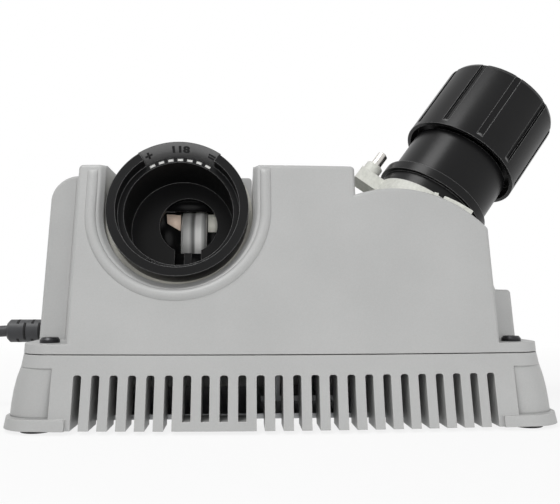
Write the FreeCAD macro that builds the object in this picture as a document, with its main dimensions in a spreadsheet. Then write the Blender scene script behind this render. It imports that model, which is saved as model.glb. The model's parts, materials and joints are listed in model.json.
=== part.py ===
import FreeCAD, Part
import math
import os
import re

import Sketcher

# A bench drill bit sharpener: a leaning grey housing on a slotted base, a black sharpening
# tube lying in a trough in front of a grinding wheel, and a chuck standing in its port.
# Millimetres. +X is to the right of the front, +Y to the back, +Z up, and the origin is on
# the bench under the middle of the base.

SIZES = {
    # Base and housing
    "depth": 130, "lean": 13, "back_lean": 5, "bow": 6,
    "half_low": 132, "half_seam": 127.5, "corner": 16, "wall": 2.5,
    "foot_height": 1.5, "foot_radius": 8, "seam": 35, "seam_gap": 0.5,
    "flange_height": 5, "flange_out": 2, "flange_reach": 30,
    "slot_count": 24, "slot_pitch": 8.5, "slot_width": 3.8, "slot_top": 26,
    "slot_depth": 18, "slot_round": 1.25,
    "bar_first": 7, "bar_count": 4, "bar_top": 4, "panel_half": 110, "panel_top": 29, "panel_step": 3,
    "plate_thick": 2.5, "plate_front": 24, "plate_gap": 0.5, "plate_lift": 1.5, "plate_screw_apart": 40,
    "seam_drop": 10,
    "post_radius": 5.5, "screw_along": 12, "screw_in": 29, "ledge": 40,
    "scoop_radius": 23, "scoop_along": 2.5, "scoop_in": 28,
    "rear_scoop": 13, "rear_scoop_along": 10.5, "rear_scoop_in": 14, "rear_screw_in": 20,
    "screw_head": 4.8, "screw_thick": 2.6, "screw_shank": 1.9, "screw_length": 14,
    "post_top": 129.6, "post_corner": 14, "bulkhead_low": 60, "block_top": 133.4, "block_right": 36,
    "arch_along": 8.955, "arch_radius": 63.7, "arch_centre": 58.2, "step_height": 78,
    "edge_round": 2.2, "split": 38,
    # Sharpening tube and its trough
    "tube_along": -53.4, "tube_up": 108.8, "tube_proud": 2, "tube_radius": 35, "tube_body": 31,
    "tube_ring": 12, "tube_length": 38, "lip_bore": 30.5, "lip_depth": 8, "tube_bore": 27.4,
    "tube_floor": 3, "tube_hole": 15.5, "hole_along": 3, "hole_up": 2.3,
    "tube_notch": 5, "notch_length": 7, "notch_apart": 9,
    "dial_sweep": 70, "dial_drop": 1, "dial_rise": 1.4,
    "window_count": 7, "window_pitch": 9.7, "window_radius": 28.9,
    "window_wide": 3, "window_tall": 1.5, "window_deep": 2.5, "travel_gap": 0.3, "running": 0.05,
    "trough_radius": 37.4, "trough_depth": 41, "trough_bevel": 3.2, "trough_hole": 17,
    "seat_gap": 0.1, "clip_thick": 1.4, "clip_out": 2,
    # Wheel and motor
    "wheel_radius": 17, "wheel_width": 14, "wheel_side": 5.6, "wheel_gap": 1.5, "wheel_chamfer": 1,
    "shaft_radius": 3, "nut_flats": 10, "nut_thick": 4,
    "shroud_gap": 3, "shroud_wall": 2, "motor_left": -10, "motor_length": 40, "motor_radius": 20,
    "can_wall": 1.5, "magnet_thick": 4, "armature_gap": 0.6, "armature_length": 18, "armature_in": 3,
    "commutator_radius": 6, "commutator_length": 7, "cap_thick": 3,
    "bearing_radius": 7, "bearing_width": 4,
    "fan_radius": 12, "fan_width": 8, "fan_gap": 4, "blade_count": 7, "blade_thick": 1,
    "bracket_wide": 30, "bracket_thick": 3, "bracket_foot": 3, "bracket_spread": 24,
    # Alignment port and chuck
    "chuck_tilt": 36.3, "seat_along": 25.884, "seat_up": 3.262,
    "port_radius": 30, "rim_height": 26, "port_wall": 4, "port_depth": 36, "port_floor": 3,
    "nose_radius": 20, "port_clearance": 0.4,
    "arm_reach": 43, "arm_height": 8, "arm_width": 12, "pin_along": 37.7, "pin_radius": 3,
    "pin_show": 7.5, "pin_boss": 5, "pin_floor": 2, "pin_chamfer": 1, "boss_rise": 0,
    "nose_length": 30, "nose_taper": 3, "nose_slope": 4,
    "flange_radius": 32, "flange_thick": 5, "collar_radius": 29.8, "collar_drop": 6,
    "neck_radius": 28.8, "neck_length": 27.4,
    "spigot_radius": 16, "spigot_length": 38.5, "bit_bore": 8, "knob_radius": 33.6, "knob_length": 47.5,
    "knob_top_round": 3, "skirt_deep": 9, "skirt_wall": 2, "groove_count": 10, "groove_wide": 3.6,
    "groove_deep": 1.6, "groove_start": 2.5, "knob_hole": 7, "sleeve_wall": 1.3,
    "jaw_count": 6, "jaw_thick": 2.4, "jaw_gap": 0.3, "jaw_inner": 3.2, "jaw_length": 8, "jaw_height": 12,
    "jaw_travel": 3,
    # Rear access cover, switch and lead
    "cover_wide": 46, "cover_tall": 44, "cover_thick": 2.5, "cover_lap": 4, "cover_up": 84,
    "cover_screw": 1.3,
    "switch_along": 66, "switch_up": 62, "switch_wide": 28, "switch_tall": 20, "switch_deep": 18,
    "bezel_lap": 2.5, "bezel_thick": 2, "rocker_gap": 0.4, "rocker_rise": 1.8, "rocker_wall": 1.5,
    "pivot_radius": 1.5, "pivot_reach": 1.5,
    "cord_diameter": 6.4, "relief_radius": 6.4, "relief_length": 26, "relief_collar": 7.6, "relief_back": 20,
    "relief_rim": 2, "relief_taper": 1.5,
    "relief_up": 43, "clamp_size": 16, "clamp_gap": 4, "lead_diameter": 5, "lead_straight": 22.5,
    "coil_outer": 48.5, "coil_pitch": 6.9, "coil_turns": 3, "coil_lift": 1.5, "tail_length": 28,
    "tie_width": 10, "tie_thick": 1.1, "tie_gap": 0.2,
    "plug_length": 34, "plug_wide": 26, "plug_tall": 23, "plug_relief": 16,
    "prong_wide": 6.3, "prong_thick": 1.6, "prong_length": 15, "prong_apart": 12.7, "earth_radius": 2.4,
    "earth_drop": 6, "earth_extra": 2,
}

doc = FreeCAD.newDocument("drill_bit_sharpener")
sheet = doc.addObject("Spreadsheet::Sheet", "sizes")
for row, (alias, value) in enumerate(SIZES.items(), start=1):
    sheet.set("A%d" % row, alias)
    sheet.set("B%d" % row, str(value))
    sheet.setAlias("B%d" % row, alias)
doc.recompute()

NODES = []


def V(x, y, z):
    return FreeCAD.Vector(x, y, z)


def size(alias):
    """The present value of one driving size."""
    return float(sheet.get(alias))


def linked(text):
    """An expression that reads its sizes from the sheet."""
    return re.sub(r"[a-z_]+", lambda word: "sizes." * (word.group() in SIZES) + word.group(), str(text))


def number(text):
    """The value of such an expression."""
    return float(sheet.evalExpression(linked(text)))


def bind(thing, **texts):
    for name, text in texts.items():
        thing.setExpression(name, linked(text))


def place(thing, at):
    """Sets a primitive at a point whose coordinates are expressions."""
    for axis, text in zip("xyz", at):
        thing.setExpression("Placement.Base." + axis, linked(text))
    return thing


def node(thing, label, where=None):
    """Keeps an object as a named sub-part."""
    thing.Label = label
    if where:
        thing.Placement = where
    NODES.append(thing)
    return thing


def solid(label, shape, where=None):
    """A sub-part whose shape comes straight from Part's own functions."""
    feature = doc.addObject("Part::Feature", label)
    feature.Shape = shape
    return node(feature, label, where.multiply(shape.Placement) if where else None)


def box(name, length, width, height, at=(0, 0, 0)):
    """A block whose middle, in X and Y, and bottom are at the given point."""
    block = doc.addObject("Part::Box", name)
    bind(block, Length=length, Width=width, Height=height)
    corner = ("%s - (%s) / 2" % (at[0], length), "%s - (%s) / 2" % (at[1], width), at[2])
    return place(block, corner)


def rod(name, radius, height, at=(0, 0, 0)):
    bar = doc.addObject("Part::Cylinder", name)
    bind(bar, Radius=radius, Height=height)
    return place(bar, at)


def joined(name, pieces):
    if len(pieces) == 1:
        return pieces[0]
    fuse = doc.addObject("Part::MultiFuse", name)
    fuse.Shapes = pieces
    return fuse


def cut(name, base, tools):
    result = doc.addObject("Part::Cut", name)
    result.Base = base
    result.Tool = joined(name + "_tools", tools)
    return result


def group(name, pieces):
    bundle = doc.addObject("Part::Compound", name)
    bundle.Links = pieces
    return bundle


def outline(body, plane, corners):
    """A closed sketch of straight lines whose corners are bound to the sheet."""
    sketch = body.newObject("Sketcher::SketchObject", body.Name + "_outline")
    support = [item for item in body.Origin.OriginFeatures if item.Role == plane]
    sketch.AttachmentSupport = [(support[0], "")]
    sketch.MapMode = "FlatFace"
    points = [V(number(x), number(y), 0) for x, y in corners]
    for start, end in zip(points, points[1:] + points[:1]):
        sketch.addGeometry(Part.LineSegment(start, end), False)
    for index in range(len(points)):
        sketch.addConstraint(Sketcher.Constraint("Coincident", index, 2, (index + 1) % len(points), 1))
    for index, pair in enumerate(corners):
        for kind, axis, text, value in zip(("DistanceX", "DistanceY"), (-2, -1), pair, points[index]):
            if abs(value) < 1e-9:
                sketch.addConstraint(Sketcher.Constraint("PointOnObject", index, 1, axis))
            else:
                held = sketch.addConstraint(Sketcher.Constraint(kind, -1, 1, index, 1, value))
                sketch.setExpression("Constraints[%d]" % held, linked(text))
    return sketch


def turned(name, profile, where=None):
    """A round piece, turned about its own Z axis from (radius, height) corners."""
    body = doc.addObject("PartDesign::Body", name)
    sketch = outline(body, "XZ_Plane", profile)
    turn = body.newObject("PartDesign::Revolution", name + "_turn")
    turn.Profile = sketch
    turn.ReferenceAxis = (sketch, ["V_Axis"])
    turn.Angle = 360
    body.Tip = turn
    if where:
        body.Placement = where
    return body


def tube(name, inner, outer, low, high, where=None):
    """A plain ring between two heights."""
    return turned(name, [(inner, low), (outer, low), (outer, high), (inner, high)], where)


# Frames: the front face, the tube's mouth, the chuck and the back wall

LEAN = math.radians(size("lean"))
FACE_TURN = FreeCAD.Rotation(V(1, 0, 0), 90 - size("lean"))
FACE = FreeCAD.Placement(V(0, -size("depth") / 2, 0), FACE_TURN)
TUBE = FACE.multiply(FreeCAD.Placement(V(size("tube_along"), size("tube_up"), 0), FreeCAD.Rotation()))
WHEEL_BACK = number("tube_length - tube_proud + wheel_gap + wheel_radius")
AXLE = FACE.multVec(V(0, size("tube_up"), -WHEEL_BACK))
WHEEL_AT = number("tube_along + wheel_side")
ALONG_X = FreeCAD.Rotation(V(0, 1, 0), 90)
ARCH_SPAN = math.sqrt(size("arch_radius") ** 2 - number("step_height - arch_centre") ** 2)
ARCH = V(number("half_seam - arch_along") - ARCH_SPAN, size("arch_centre"), 0)
SEAT = ARCH + V(size("seat_along"), number("arch_radius + seat_up"), -size("split"))
TILT = math.radians(size("chuck_tilt"))
SEAT_TURN = FreeCAD.Rotation(V(math.cos(TILT), -math.sin(TILT), 0), V(0, 0, -1),
                             V(math.sin(TILT), math.cos(TILT), 0), "ZXY")
CHUCK = FACE.multiply(FreeCAD.Placement(SEAT, SEAT_TURN))
BACK_TURN = FreeCAD.Rotation(V(1, 0, 0), size("back_lean") - 90).multiply(FreeCAD.Rotation(V(0, 0, 1), 180))
BACK = FreeCAD.Placement(V(0, size("depth") / 2, 0), BACK_TURN)
FAR = 400


def on_axle(along):
    """A frame on the motor's axis whose Z runs along +X."""
    return FreeCAD.Placement(V(along, AXLE.y, AXLE.z), ALONG_X)


# Housing forms

def half_width(height):
    share = min(height / size("seam"), 1)
    return size("half_low") + (size("half_seam") - size("half_low")) * share


def plan(height, inset, half):
    """The housing's outline at one height, drawn in by a wall: a bowed front and round corners."""
    half = half - inset
    front = -size("depth") / 2 + height * math.tan(LEAN) + inset
    side = front + size("bow")
    back = size("depth") / 2 - height * math.tan(math.radians(size("back_lean"))) - inset
    bend = size("corner") - inset
    nick = bend * (1 - math.sqrt(0.5))

    def at(x, y):
        return V(x, y, height)
    edges = [Part.Arc(at(-half + bend, side), at(0, front), at(half - bend, side)),
             Part.Arc(at(half - bend, side), at(half - nick, side + nick), at(half, side + bend)),
             Part.LineSegment(at(half, side + bend), at(half, back - bend)),
             Part.Arc(at(half, back - bend), at(half - nick, back - nick), at(half - bend, back)),
             Part.LineSegment(at(half - bend, back), at(-half + bend, back)),
             Part.Arc(at(-half + bend, back), at(-half + nick, back - nick), at(-half, back - bend)),
             Part.LineSegment(at(-half, back - bend), at(-half, side + bend)),
             Part.Arc(at(-half, side + bend), at(-half + nick, side + nick), at(-half + bend, side))]
    return Part.Wire([edge.toShape() for edge in edges])


def tapered(low, high, inset):
    """A length of the base, whose sides lean in."""
    return Part.makeLoft([plan(low, inset, half_width(low)), plan(high, inset, half_width(high))], True, True)


def straight(low, high, inset):
    """A length of the upper housing, whose sides are upright."""
    half = size("half_seam")
    return Part.makeLoft([plan(low, inset, half), plan(high, inset, half)], True, True)


def block(x0, y0, z0, x1, y1, z1):
    return Part.makeBox(x1 - x0, y1 - y0, z1 - z0, V(x0, y0, z0))


def in_face(shape):
    """A shape drawn on the front face (along, up, out), set in the machine's frame."""
    moved = shape.copy()
    moved.Placement = FACE.multiply(shape.Placement)
    return moved


def prism(edges, inset, way):
    """A closed outline, drawn in by a wall, as a prism right through the housing."""
    wire = Part.Wire([edge.toShape() for edge in edges])
    if inset:
        wire = wire.makeOffset2D(-inset)
    body = Part.Face(wire).extrude(way * (2 * FAR))
    body.translate(way * -FAR)
    return body


def runs(*corners):
    """Straight edges through a row of points."""
    return [Part.LineSegment(start, end) for start, end in zip(corners, corners[1:])]


VALLEY = size("tube_along") + size("trough_radius")
UNDER = -FAR / 4


def wheel_end(inset):
    """The left end, level along the top and round at its outer corner, in front view (x, z)."""
    half, top, bend = size("half_seam"), size("post_top"), size("post_corner")
    nick = bend * (1 - math.sqrt(0.5))

    def at(x, z):
        return V(x, 0, z)
    edges = runs(at(bend - half, top), at(VALLEY, top), at(VALLEY, UNDER), at(-half, UNDER),
                 at(-half, top - bend))
    edges.append(Part.Arc(at(-half, top - bend), at(nick - half, top - nick), at(bend - half, top)))
    return prism(edges, inset, V(0, 1, 0))


def chuck_end(inset):
    """The right end, a flat-topped block and an arch, drawn on the leaning face (along, up)."""
    cap, right, step, half = size("block_top"), size("block_right"), size("step_height"), size("half_seam")
    radius, centre, foot = size("arch_radius"), ARCH, V(half - size("arch_along"), step, 0)
    left = VALLEY - inset

    def on_arch(along):
        return V(along, centre.y + math.sqrt(radius ** 2 - (along - centre.x) ** 2), 0)
    edges = runs(on_arch(right), V(right, cap, 0), V(left, cap, 0), V(left, UNDER, 0), V(half, UNDER, 0),
                 V(half, step, 0), foot)
    edges.append(Part.Arc(foot, on_arch(centre.x), on_arch(right)))
    return in_face(prism(edges, inset, V(0, 0, 1)))


def elevation(inset):
    """The housing seen from the front, with a low way through between its two ends."""
    whole = wheel_end(inset).fuse(chuck_end(inset))
    if inset:
        whole = whole.fuse(block(VALLEY - 2 * inset, -FAR, UNDER, VALLEY + inset, FAR, size("bulkhead_low")))
    return whole


def trough(inset):
    """The round-bottomed channel, open at the top, that the tube lies in."""
    radius = size("trough_radius") + inset
    floor = size("trough_depth") + inset
    centre = V(size("tube_along"), size("tube_up"), -floor)
    channel = Part.makeCylinder(radius, FAR, centre)
    slot = Part.makeBox(2 * radius, FAR, FAR, centre - V(radius, 0, 0))
    return in_face(channel.fuse(slot))


def corner_rows():
    """Each corner's side, end and slope, its scoop's place and radius, and its screw's place."""
    front = (-1, "lean", "scoop_along", "scoop_in", "scoop_radius", "screw_in")
    rear = (1, "back_lean", "rear_scoop_along", "rear_scoop_in", "rear_scoop", "rear_screw_in")
    return [(side, row[0]) + tuple(size(alias) for alias in row[1:])
            for side in (-1, 1) for row in (front, rear)]


def scoops(inset):
    """Hollows down the four corners, which leave a ledge for each case screw."""
    over = block(-FAR, -FAR, size("ledge") - inset, FAR, FAR, FAR)
    shapes = []
    for side, end, lean, scoop_along, scoop_in, hollow, screw_in in corner_rows():
        rise = V(0, -end * math.tan(math.radians(lean)), 1)
        along = size("half_seam") - scoop_along
        start = V(side * along, end * (size("depth") / 2 - scoop_in), size("ledge"))
        radius = hollow + inset
        shapes.append(Part.makeCylinder(radius, FAR, start - rise * radius, rise).common(over))
    return shapes


def housing(inset):
    """The upper housing as a full body, drawn in by a wall."""
    low = size("seam") + size("seam_gap") - (FAR / 40 if inset else 0)
    high = size("block_top") + size("depth") / 4
    body = straight(low, high, inset).common(elevation(inset))
    return body.cut([trough(inset)] + scoops(inset))


def corner_spots():
    """Where the case screws stand: (x, y) at the ledges."""
    return [(side * number("half_seam - screw_along"), end * (size("depth") / 2 - screw_in))
            for side, end, lean, scoop_along, scoop_in, hollow, screw_in in corner_rows()]


def shifted(shape, x, y, z):
    moved = shape.copy()
    moved.translate(V(x, y, z))
    return moved


# Base

LOW = size("foot_height")
SEAM = size("seam")
PLATE_LOW = LOW + size("plate_lift")
PLATE_TOP = PLATE_LOW + size("plate_thick")


def corner_pads(grow):
    """Solid corner plates that carry the feet, a little wider than the base."""
    reach = size("flange_reach") + grow
    pads = tapered(LOW, LOW + size("flange_height"), -size("flange_out"))
    inner = size("half_low") - reach
    edge = size("depth") / 2 - reach
    return [pads.common(block(*xs, LOW, *xe, FAR)) for xs, xe in
            (((inner, edge), (FAR, FAR)), ((-FAR, edge), (-inner, FAR)),
             ((inner, -FAR), (FAR, -edge)), ((-FAR, -FAR), (-inner, -edge)))]


def slot_cutters():
    """The grille's slots: open at the bottom, but for a short row closed by a bar."""
    count = int(size("slot_count"))
    first = int(size("bar_first")) - 1
    barred = range(first, first + int(size("bar_count")))
    shapes = []
    for index in range(count):
        middle = (index - (count - 1) / 2) * size("slot_pitch")
        low = LOW + size("bar_top") if index in barred else -LOW
        half = size("slot_width") / 2
        reach = -size("depth") / 2 + size("slot_depth") + 2 * size("bow") + SEAM * math.tan(LEAN)
        slot = block(middle - half, -FAR, low, middle + half, reach, size("slot_top"))
        tops = [edge for edge in slot.Edges if edge.BoundBox.ZMin > size("slot_top") - 1
                and edge.BoundBox.YLength > 1]
        shapes.append(slot.makeFillet(size("slot_round"), tops))
    return shapes


def post(x, y, low, high):
    """A screw post tied to the side wall by a rib."""
    radius = size("post_radius")
    wall_side = math.copysign(size("half_low"), x)
    rib = block(min(x, wall_side), y - size("wall") / 2, low, max(x, wall_side), y + size("wall") / 2, high)
    return Part.makeCylinder(radius, high - low, V(x, y, low)).fuse(rib)


def plate_spots():
    along = size("half_low") - size("wall") - size("post_radius")
    return [(side * along, end * size("plate_screw_apart") / 2) for side in (-1, 1) for end in (-1, 1)]


def base_housing():
    outer = tapered(LOW, SEAM, 0)
    cavity = tapered(LOW - 1, SEAM + 1, size("wall"))
    slab = outer.cut(shifted(outer, 0, size("slot_depth"), 0))
    panel = block(-size("panel_half"), -FAR, LOW, size("panel_half"), 0, FAR)
    recess = tapered(LOW - 1, size("panel_top"), 0)
    recess = recess.cut(shifted(recess, 0, size("panel_step"), 0))
    side_front = block(-FAR, -FAR, -1, FAR, -size("depth") / 4, FAR).cut(panel)
    shell = outer.cut(cavity).fuse(slab.common(panel)).cut(recess.common(side_front))
    posts = [post(x, y, LOW, SEAM).common(outer) for x, y in corner_spots()]
    bosses = [post(x, y, PLATE_TOP, SEAM - size("seam_drop")).common(outer) for x, y in plate_spots()]
    shell = shell.fuse(corner_pads(0) + posts + bosses)
    pilots = [Part.makeCylinder(size("screw_shank"), FAR, V(x, y, SEAM - size("screw_length"))) for x, y in
              corner_spots()]
    pilots += [Part.makeCylinder(size("screw_shank"), size("screw_length"), V(x, y, 0)) for x, y in
               plate_spots()]
    return shell.cut(slot_cutters() + pilots).removeSplitter()


def bottom_plate():
    sheet_metal = tapered(PLATE_LOW, PLATE_TOP, size("wall") + size("plate_gap"))
    front = block(-FAR, -FAR, 0, FAR, size("plate_front") - size("depth") / 2, FAR)
    hole, clearing = size("screw_shank") + size("seat_gap"), size("post_radius") + size("plate_gap")
    holes = [Part.makeCylinder(hole, FAR, V(x, y, 0)) for x, y in plate_spots()]
    clear = [Part.makeCylinder(clearing, FAR, V(x, y, 0)) for x, y in corner_spots()]
    return sheet_metal.cut([front] + corner_pads(size("plate_gap")) + holes + clear)


solid("base_housing", base_housing())
solid("bottom_plate", bottom_plate())


def foot_spots():
    along = size("half_low") - size("flange_reach") / 2
    end = size("depth") / 2 - size("flange_reach") / 2
    return [(x, y) for x in (-along, along) for y in (-end, end)]


FOOT = [(0, 0), ("foot_radius - foot_height / 2", 0), ("foot_radius", "foot_height / 2"),
        ("foot_radius", "foot_height"), (0, "foot_height")]
feet = [turned("foot_%d" % index, FOOT, FreeCAD.Placement(V(x, y, 0), FreeCAD.Rotation()))
        for index, (x, y) in enumerate(foot_spots())]
node(group("rubber_feet", feet), "rubber_feet")


def screws(label, head, thick, shank, length, spots):
    """A group of like screws: each spot is a frame on the seat, with Z out of the head."""
    profile = [(0, "-(%s)" % length), (shank, "-(%s)" % length), (shank, 0), (head, 0),
               (head, "(%s) * 0.55" % thick), ("(%s) * 0.8" % head, thick), (0, thick)]
    made = [turned("%s_%d" % (label, index), profile, spot) for index, spot in enumerate(spots)]
    return node(group(label, made), label)


def upright(x, y, z, flip=False):
    return FreeCAD.Placement(V(x, y, z), FreeCAD.Rotation(V(1, 0, 0), 180 if flip else 0))


screws("case_screws", "screw_head", "screw_thick", "screw_shank - seat_gap",
       "ledge - seam + screw_length * 0.8", [upright(x, y, size("ledge")) for x, y in corner_spots()])
screws("bottom_screws", "screw_shank * 1.8", "plate_lift * 0.8", "screw_shank - seat_gap",
       "screw_length * 0.5", [upright(x, y, PLATE_LOW, True) for x, y in plate_spots()])


# Upper housing, parted into a front and a rear shell

def port_hole():
    hole = Part.makeCylinder(size("port_radius") + size("seat_gap"), FAR, V(0, 0, -size("rim_height")))
    hole.Placement = CHUCK
    return hole


def trough_bevel():
    """The sloping lip round the mouth of the trough."""
    radius, bevel = size("trough_radius"), size("trough_bevel")
    wide = radius + 3 * bevel
    cone = Part.makeCone(radius, wide, 3 * bevel, V(0, 0, -bevel))
    corners = [V(-radius, 0, -bevel), V(radius, 0, -bevel), V(wide, 0, 2 * bevel), V(-wide, 0, 2 * bevel)]
    arms = Part.Face(Part.makePolygon(corners + corners[:1])).extrude(V(0, FAR, 0))
    share = size("tube_along") / (size("half_seam") - size("corner"))
    dip = size("bow") * share ** 2
    slope = math.degrees(math.atan(2 * dip / size("tube_along")))
    lip = cone.fuse(arms)
    lip.Placement = FreeCAD.Placement(V(size("tube_along"), size("tube_up"), -dip),
                                      FreeCAD.Rotation(V(0, 1, 0), slope))
    return in_face(lip)


def behind(shape):
    """A shape drawn on the back wall, seen from behind (along, up, out)."""
    moved = shape.copy()
    moved.Placement = BACK.multiply(shape.Placement)
    return moved


def centred(wide, tall, low, high, along, up):
    return Part.makeBox(wide, tall, high - low, V(along - wide / 2, up - tall / 2, low))


COVER_ALONG = -size("tube_along")
SWITCH_ALONG = -size("switch_along")


def shell_openings():
    gap = size("seat_gap")
    inside = size("wall") * 3
    lap = 2 * size("cover_lap")
    window = centred(size("cover_wide") - lap, size("cover_tall") - lap, -inside, inside,
                     COVER_ALONG, size("cover_up"))
    switch = centred(size("switch_wide") + 2 * gap, size("switch_tall") + 2 * gap, -inside, inside,
                     SWITCH_ALONG, size("switch_up"))
    gland = Part.makeCylinder(size("relief_radius") + gap, FAR, V(0, size("relief_back"), size("relief_up")),
                              V(-1, 0, 0))
    holes = [Part.makeCylinder(size("screw_shank"), FAR, V(x, y, 0)) for x, y in corner_spots()]
    wheel = Part.makeCylinder(size("trough_hole"), FAR / 4,
                              V(WHEEL_AT, size("tube_up"), -size("trough_depth") - FAR / 8))
    reach = block(WHEEL_AT - size("trough_hole"), -FAR, size("seam"),
                  WHEEL_AT + size("trough_hole"), size("depth") / 4, FAR)
    bulkhead = Part.makeCylinder(size("fan_radius") + size("wheel_gap"), 4 * inside,
                                 V(VALLEY - 2 * inside, AXLE.y, AXLE.z), V(1, 0, 0))
    openings = [behind(window), behind(switch), gland, in_face(wheel).common(reach), bulkhead]
    return openings + holes + cover_pilots()


def cover_spots():
    """Frames for the cover's two screws, on the laps at its sides."""
    reach = (size("cover_wide") - size("cover_lap")) / 2
    points = [V(COVER_ALONG + side * reach, size("cover_up"), size("cover_thick")) for side in (-1, 1)]
    return [BACK.multiply(FreeCAD.Placement(point, FreeCAD.Rotation())) for point in points]


def cover_pilots():
    shapes = []
    for spot in cover_spots():
        pilot = Part.makeCylinder(size("cover_screw") + size("seat_gap"), 4 * size("wall"),
                                  V(0, 0, -3 * size("wall")))
        pilot.Placement = spot
        shapes.append(pilot)
    return shapes


def meeting(edge, body):
    """The middle of an edge and the outward ways of the two faces that meet there."""
    middle = edge.valueAt((edge.FirstParameter + edge.LastParameter) / 2)
    faces = [face for face in body.Faces if any(other.isSame(edge) for other in face.Edges)]
    return middle, [face.normalAt(*face.Surface.parameter(middle)) for face in faces]


def smoothed(body):
    """Rounds every sharp outward edge above the screw ledges, but for those inside the trough."""
    channel = trough(0)
    sharp_edges = []
    for edge in body.Edges:
        middle, ways = meeting(edge, body)
        if len(ways) != 2 or math.degrees(ways[0].getAngle(ways[1])) < 40:
            continue
        beside = middle + (ways[0] - ways[1]) * (size("seat_gap") / 2)
        outward = not body.isInside(beside, 1e-6, True)
        if outward and middle.z > size("ledge") + 1 and not channel.isInside(middle, 0.01, True):
            sharp_edges.append(edge)
    return body.makeFillet(size("edge_round"), sharp_edges)


skin = smoothed(housing(0).cut([trough_bevel()]).removeSplitter())
whole = skin.cut([housing(size("wall"))])
whole = whole.cut([port_hole()] + shell_openings())
ahead = in_face(block(-FAR, -FAR, -size("split"), FAR, FAR, FAR))
solid("front_shell", whole.common(ahead).removeSplitter())
solid("rear_shell", whole.cut(ahead).removeSplitter())


def wheel_cover():
    """The access cover behind the wheel: a plate with a plug that fills its window."""
    lap = 2 * size("cover_lap") + 2 * size("travel_gap")
    plate = centred(size("cover_wide"), size("cover_tall"), 0, size("cover_thick"),
                    COVER_ALONG, size("cover_up"))
    plug = centred(size("cover_wide") - lap, size("cover_tall") - lap, -size("wall"), 0,
                   COVER_ALONG, size("cover_up"))
    return behind(plate.fuse(plug)).cut(cover_pilots()).removeSplitter()


solid("wheel_cover", wheel_cover())
screws("cover_screws", "cover_screw * 1.3", "cover_screw", "cover_screw", "cover_thick + wall", cover_spots())


# Sharpening tube

MOUTH = "tube_proud"
tube_blank = turned("tube_blank", [
    (0, "tube_proud - tube_length"), ("tube_body", "tube_proud - tube_length"),
    ("tube_body", "tube_proud - tube_ring"), ("tube_radius", "tube_proud - tube_ring"),
    ("tube_radius", MOUTH), ("lip_bore", MOUTH), ("lip_bore", "tube_proud - lip_depth"),
    ("tube_bore", "tube_proud - lip_depth"), ("tube_bore", "tube_proud - tube_length + tube_floor"),
    (0, "tube_proud - tube_length + tube_floor")])


def top_sector(corners):
    """A section of (radius, height) corners swept across the top of the mouth."""
    points = [V(radius, 0, height) for radius, height in corners]
    section = Part.Face(Part.makePolygon(points + points[:1]))
    wedge = section.revolve(V(0, 0, 0), V(0, 0, 1), size("dial_sweep"))
    wedge.rotate(V(0, 0, 0), V(0, 0, 1), 90 - size("dial_sweep") / 2)
    return wedge


def dial_cutter():
    """The sloping dial across the top of the mouth."""
    high, low = size("tube_proud"), size("tube_proud") - size("lip_depth")
    lip, rim = size("lip_bore"), size("tube_radius") + 2 * size("dial_rise")
    return top_sector([(lip - 1, low), (lip, low), (rim, high - size("dial_drop")), (rim, high + 1),
                       (lip - 1, high + 1)])


def dial_back():
    """The dial's outer wall, a little proud of the rim."""
    inner, outer = number("lip_bore + dial_rise"), number("tube_radius + dial_rise")
    low, high = number("tube_proud - tube_ring + dial_rise"), size("tube_proud")
    return top_sector([(inner, low), (outer, low), (outer, high), (inner, high)])


def window_cutters():
    """A row of small windows in the step at the top, and a like row at the bottom."""
    count = int(size("window_count"))
    deep = size("window_deep")
    shapes = []
    for index in range(count):
        for start in (90, 270):
            window = centred(size("window_tall"), size("window_wide"), -deep, deep, size("window_radius"), 0)
            window.translate(V(0, 0, size("tube_proud") - size("lip_depth")))
            window.rotate(V(0, 0, 0), V(0, 0, 1), start + (index - (count - 1) / 2) * size("window_pitch"))
            shapes.append(window)
    return shapes


def notch_cutters():
    """Two slots that run down from the hole in the floor."""
    reach = size("tube_hole") + size("notch_length")
    floor = size("tube_proud") - size("tube_length")
    return [centred(size("tube_notch"), reach, floor - 1, floor + size("tube_floor") + 1,
                    size("hole_along") + side * size("notch_apart") / 2, size("hole_up") - reach / 2)
            for side in (-1, 1)]


def floor_hole():
    """The hole that the wheel is reached through, a little off the tube's axis, with its two slots."""
    low = size("tube_proud") - size("tube_length") - 1
    hole = Part.makeCylinder(size("tube_hole"), size("tube_floor") + 2,
                             V(size("hole_along"), size("hole_up"), low))
    return hole.fuse(notch_cutters())


tube_relief = doc.addObject("Part::Feature", "tube_relief")
tube_relief.Shape = Part.makeCompound([dial_cutter(), floor_hole()] + window_cutters())
dial_wall = doc.addObject("Part::Feature", "dial_wall")
dial_wall.Shape = dial_back()
node(cut("sharpening_tube", joined("tube_round", [tube_blank, dial_wall]), [tube_relief]), "sharpening_tube",
     TUBE)
CLIP_LOW = "tube_proud - tube_length"
node(tube("clip_ring", "tube_body", "tube_body + clip_out", CLIP_LOW, CLIP_LOW + " + clip_thick"),
     "tube_clip", TUBE)
carrier_ring = tube("carrier_ring", "tube_body + running", "trough_radius - seat_gap",
                    CLIP_LOW + " + clip_thick + travel_gap", "tube_proud - tube_ring - travel_gap")
carrier_top = box("carrier_top", "3 * trough_radius", "trough_radius", "2 * tube_length",
                  (0, "post_top / cos(lean * 1 deg) - tube_up + trough_radius / 2", "-1.5 * tube_length"))
node(cut("tube_carrier", carrier_ring, [carrier_top]), "tube_carrier", TUBE)


# Wheel and motor, on one axis along X

MOTOR_AT = size("motor_left")
MOTOR_END = MOTOR_AT + size("motor_length")
SHAFT_START = WHEEL_AT - size("wheel_width") / 2 - size("nut_thick") - 2 * size("travel_gap")

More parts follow.
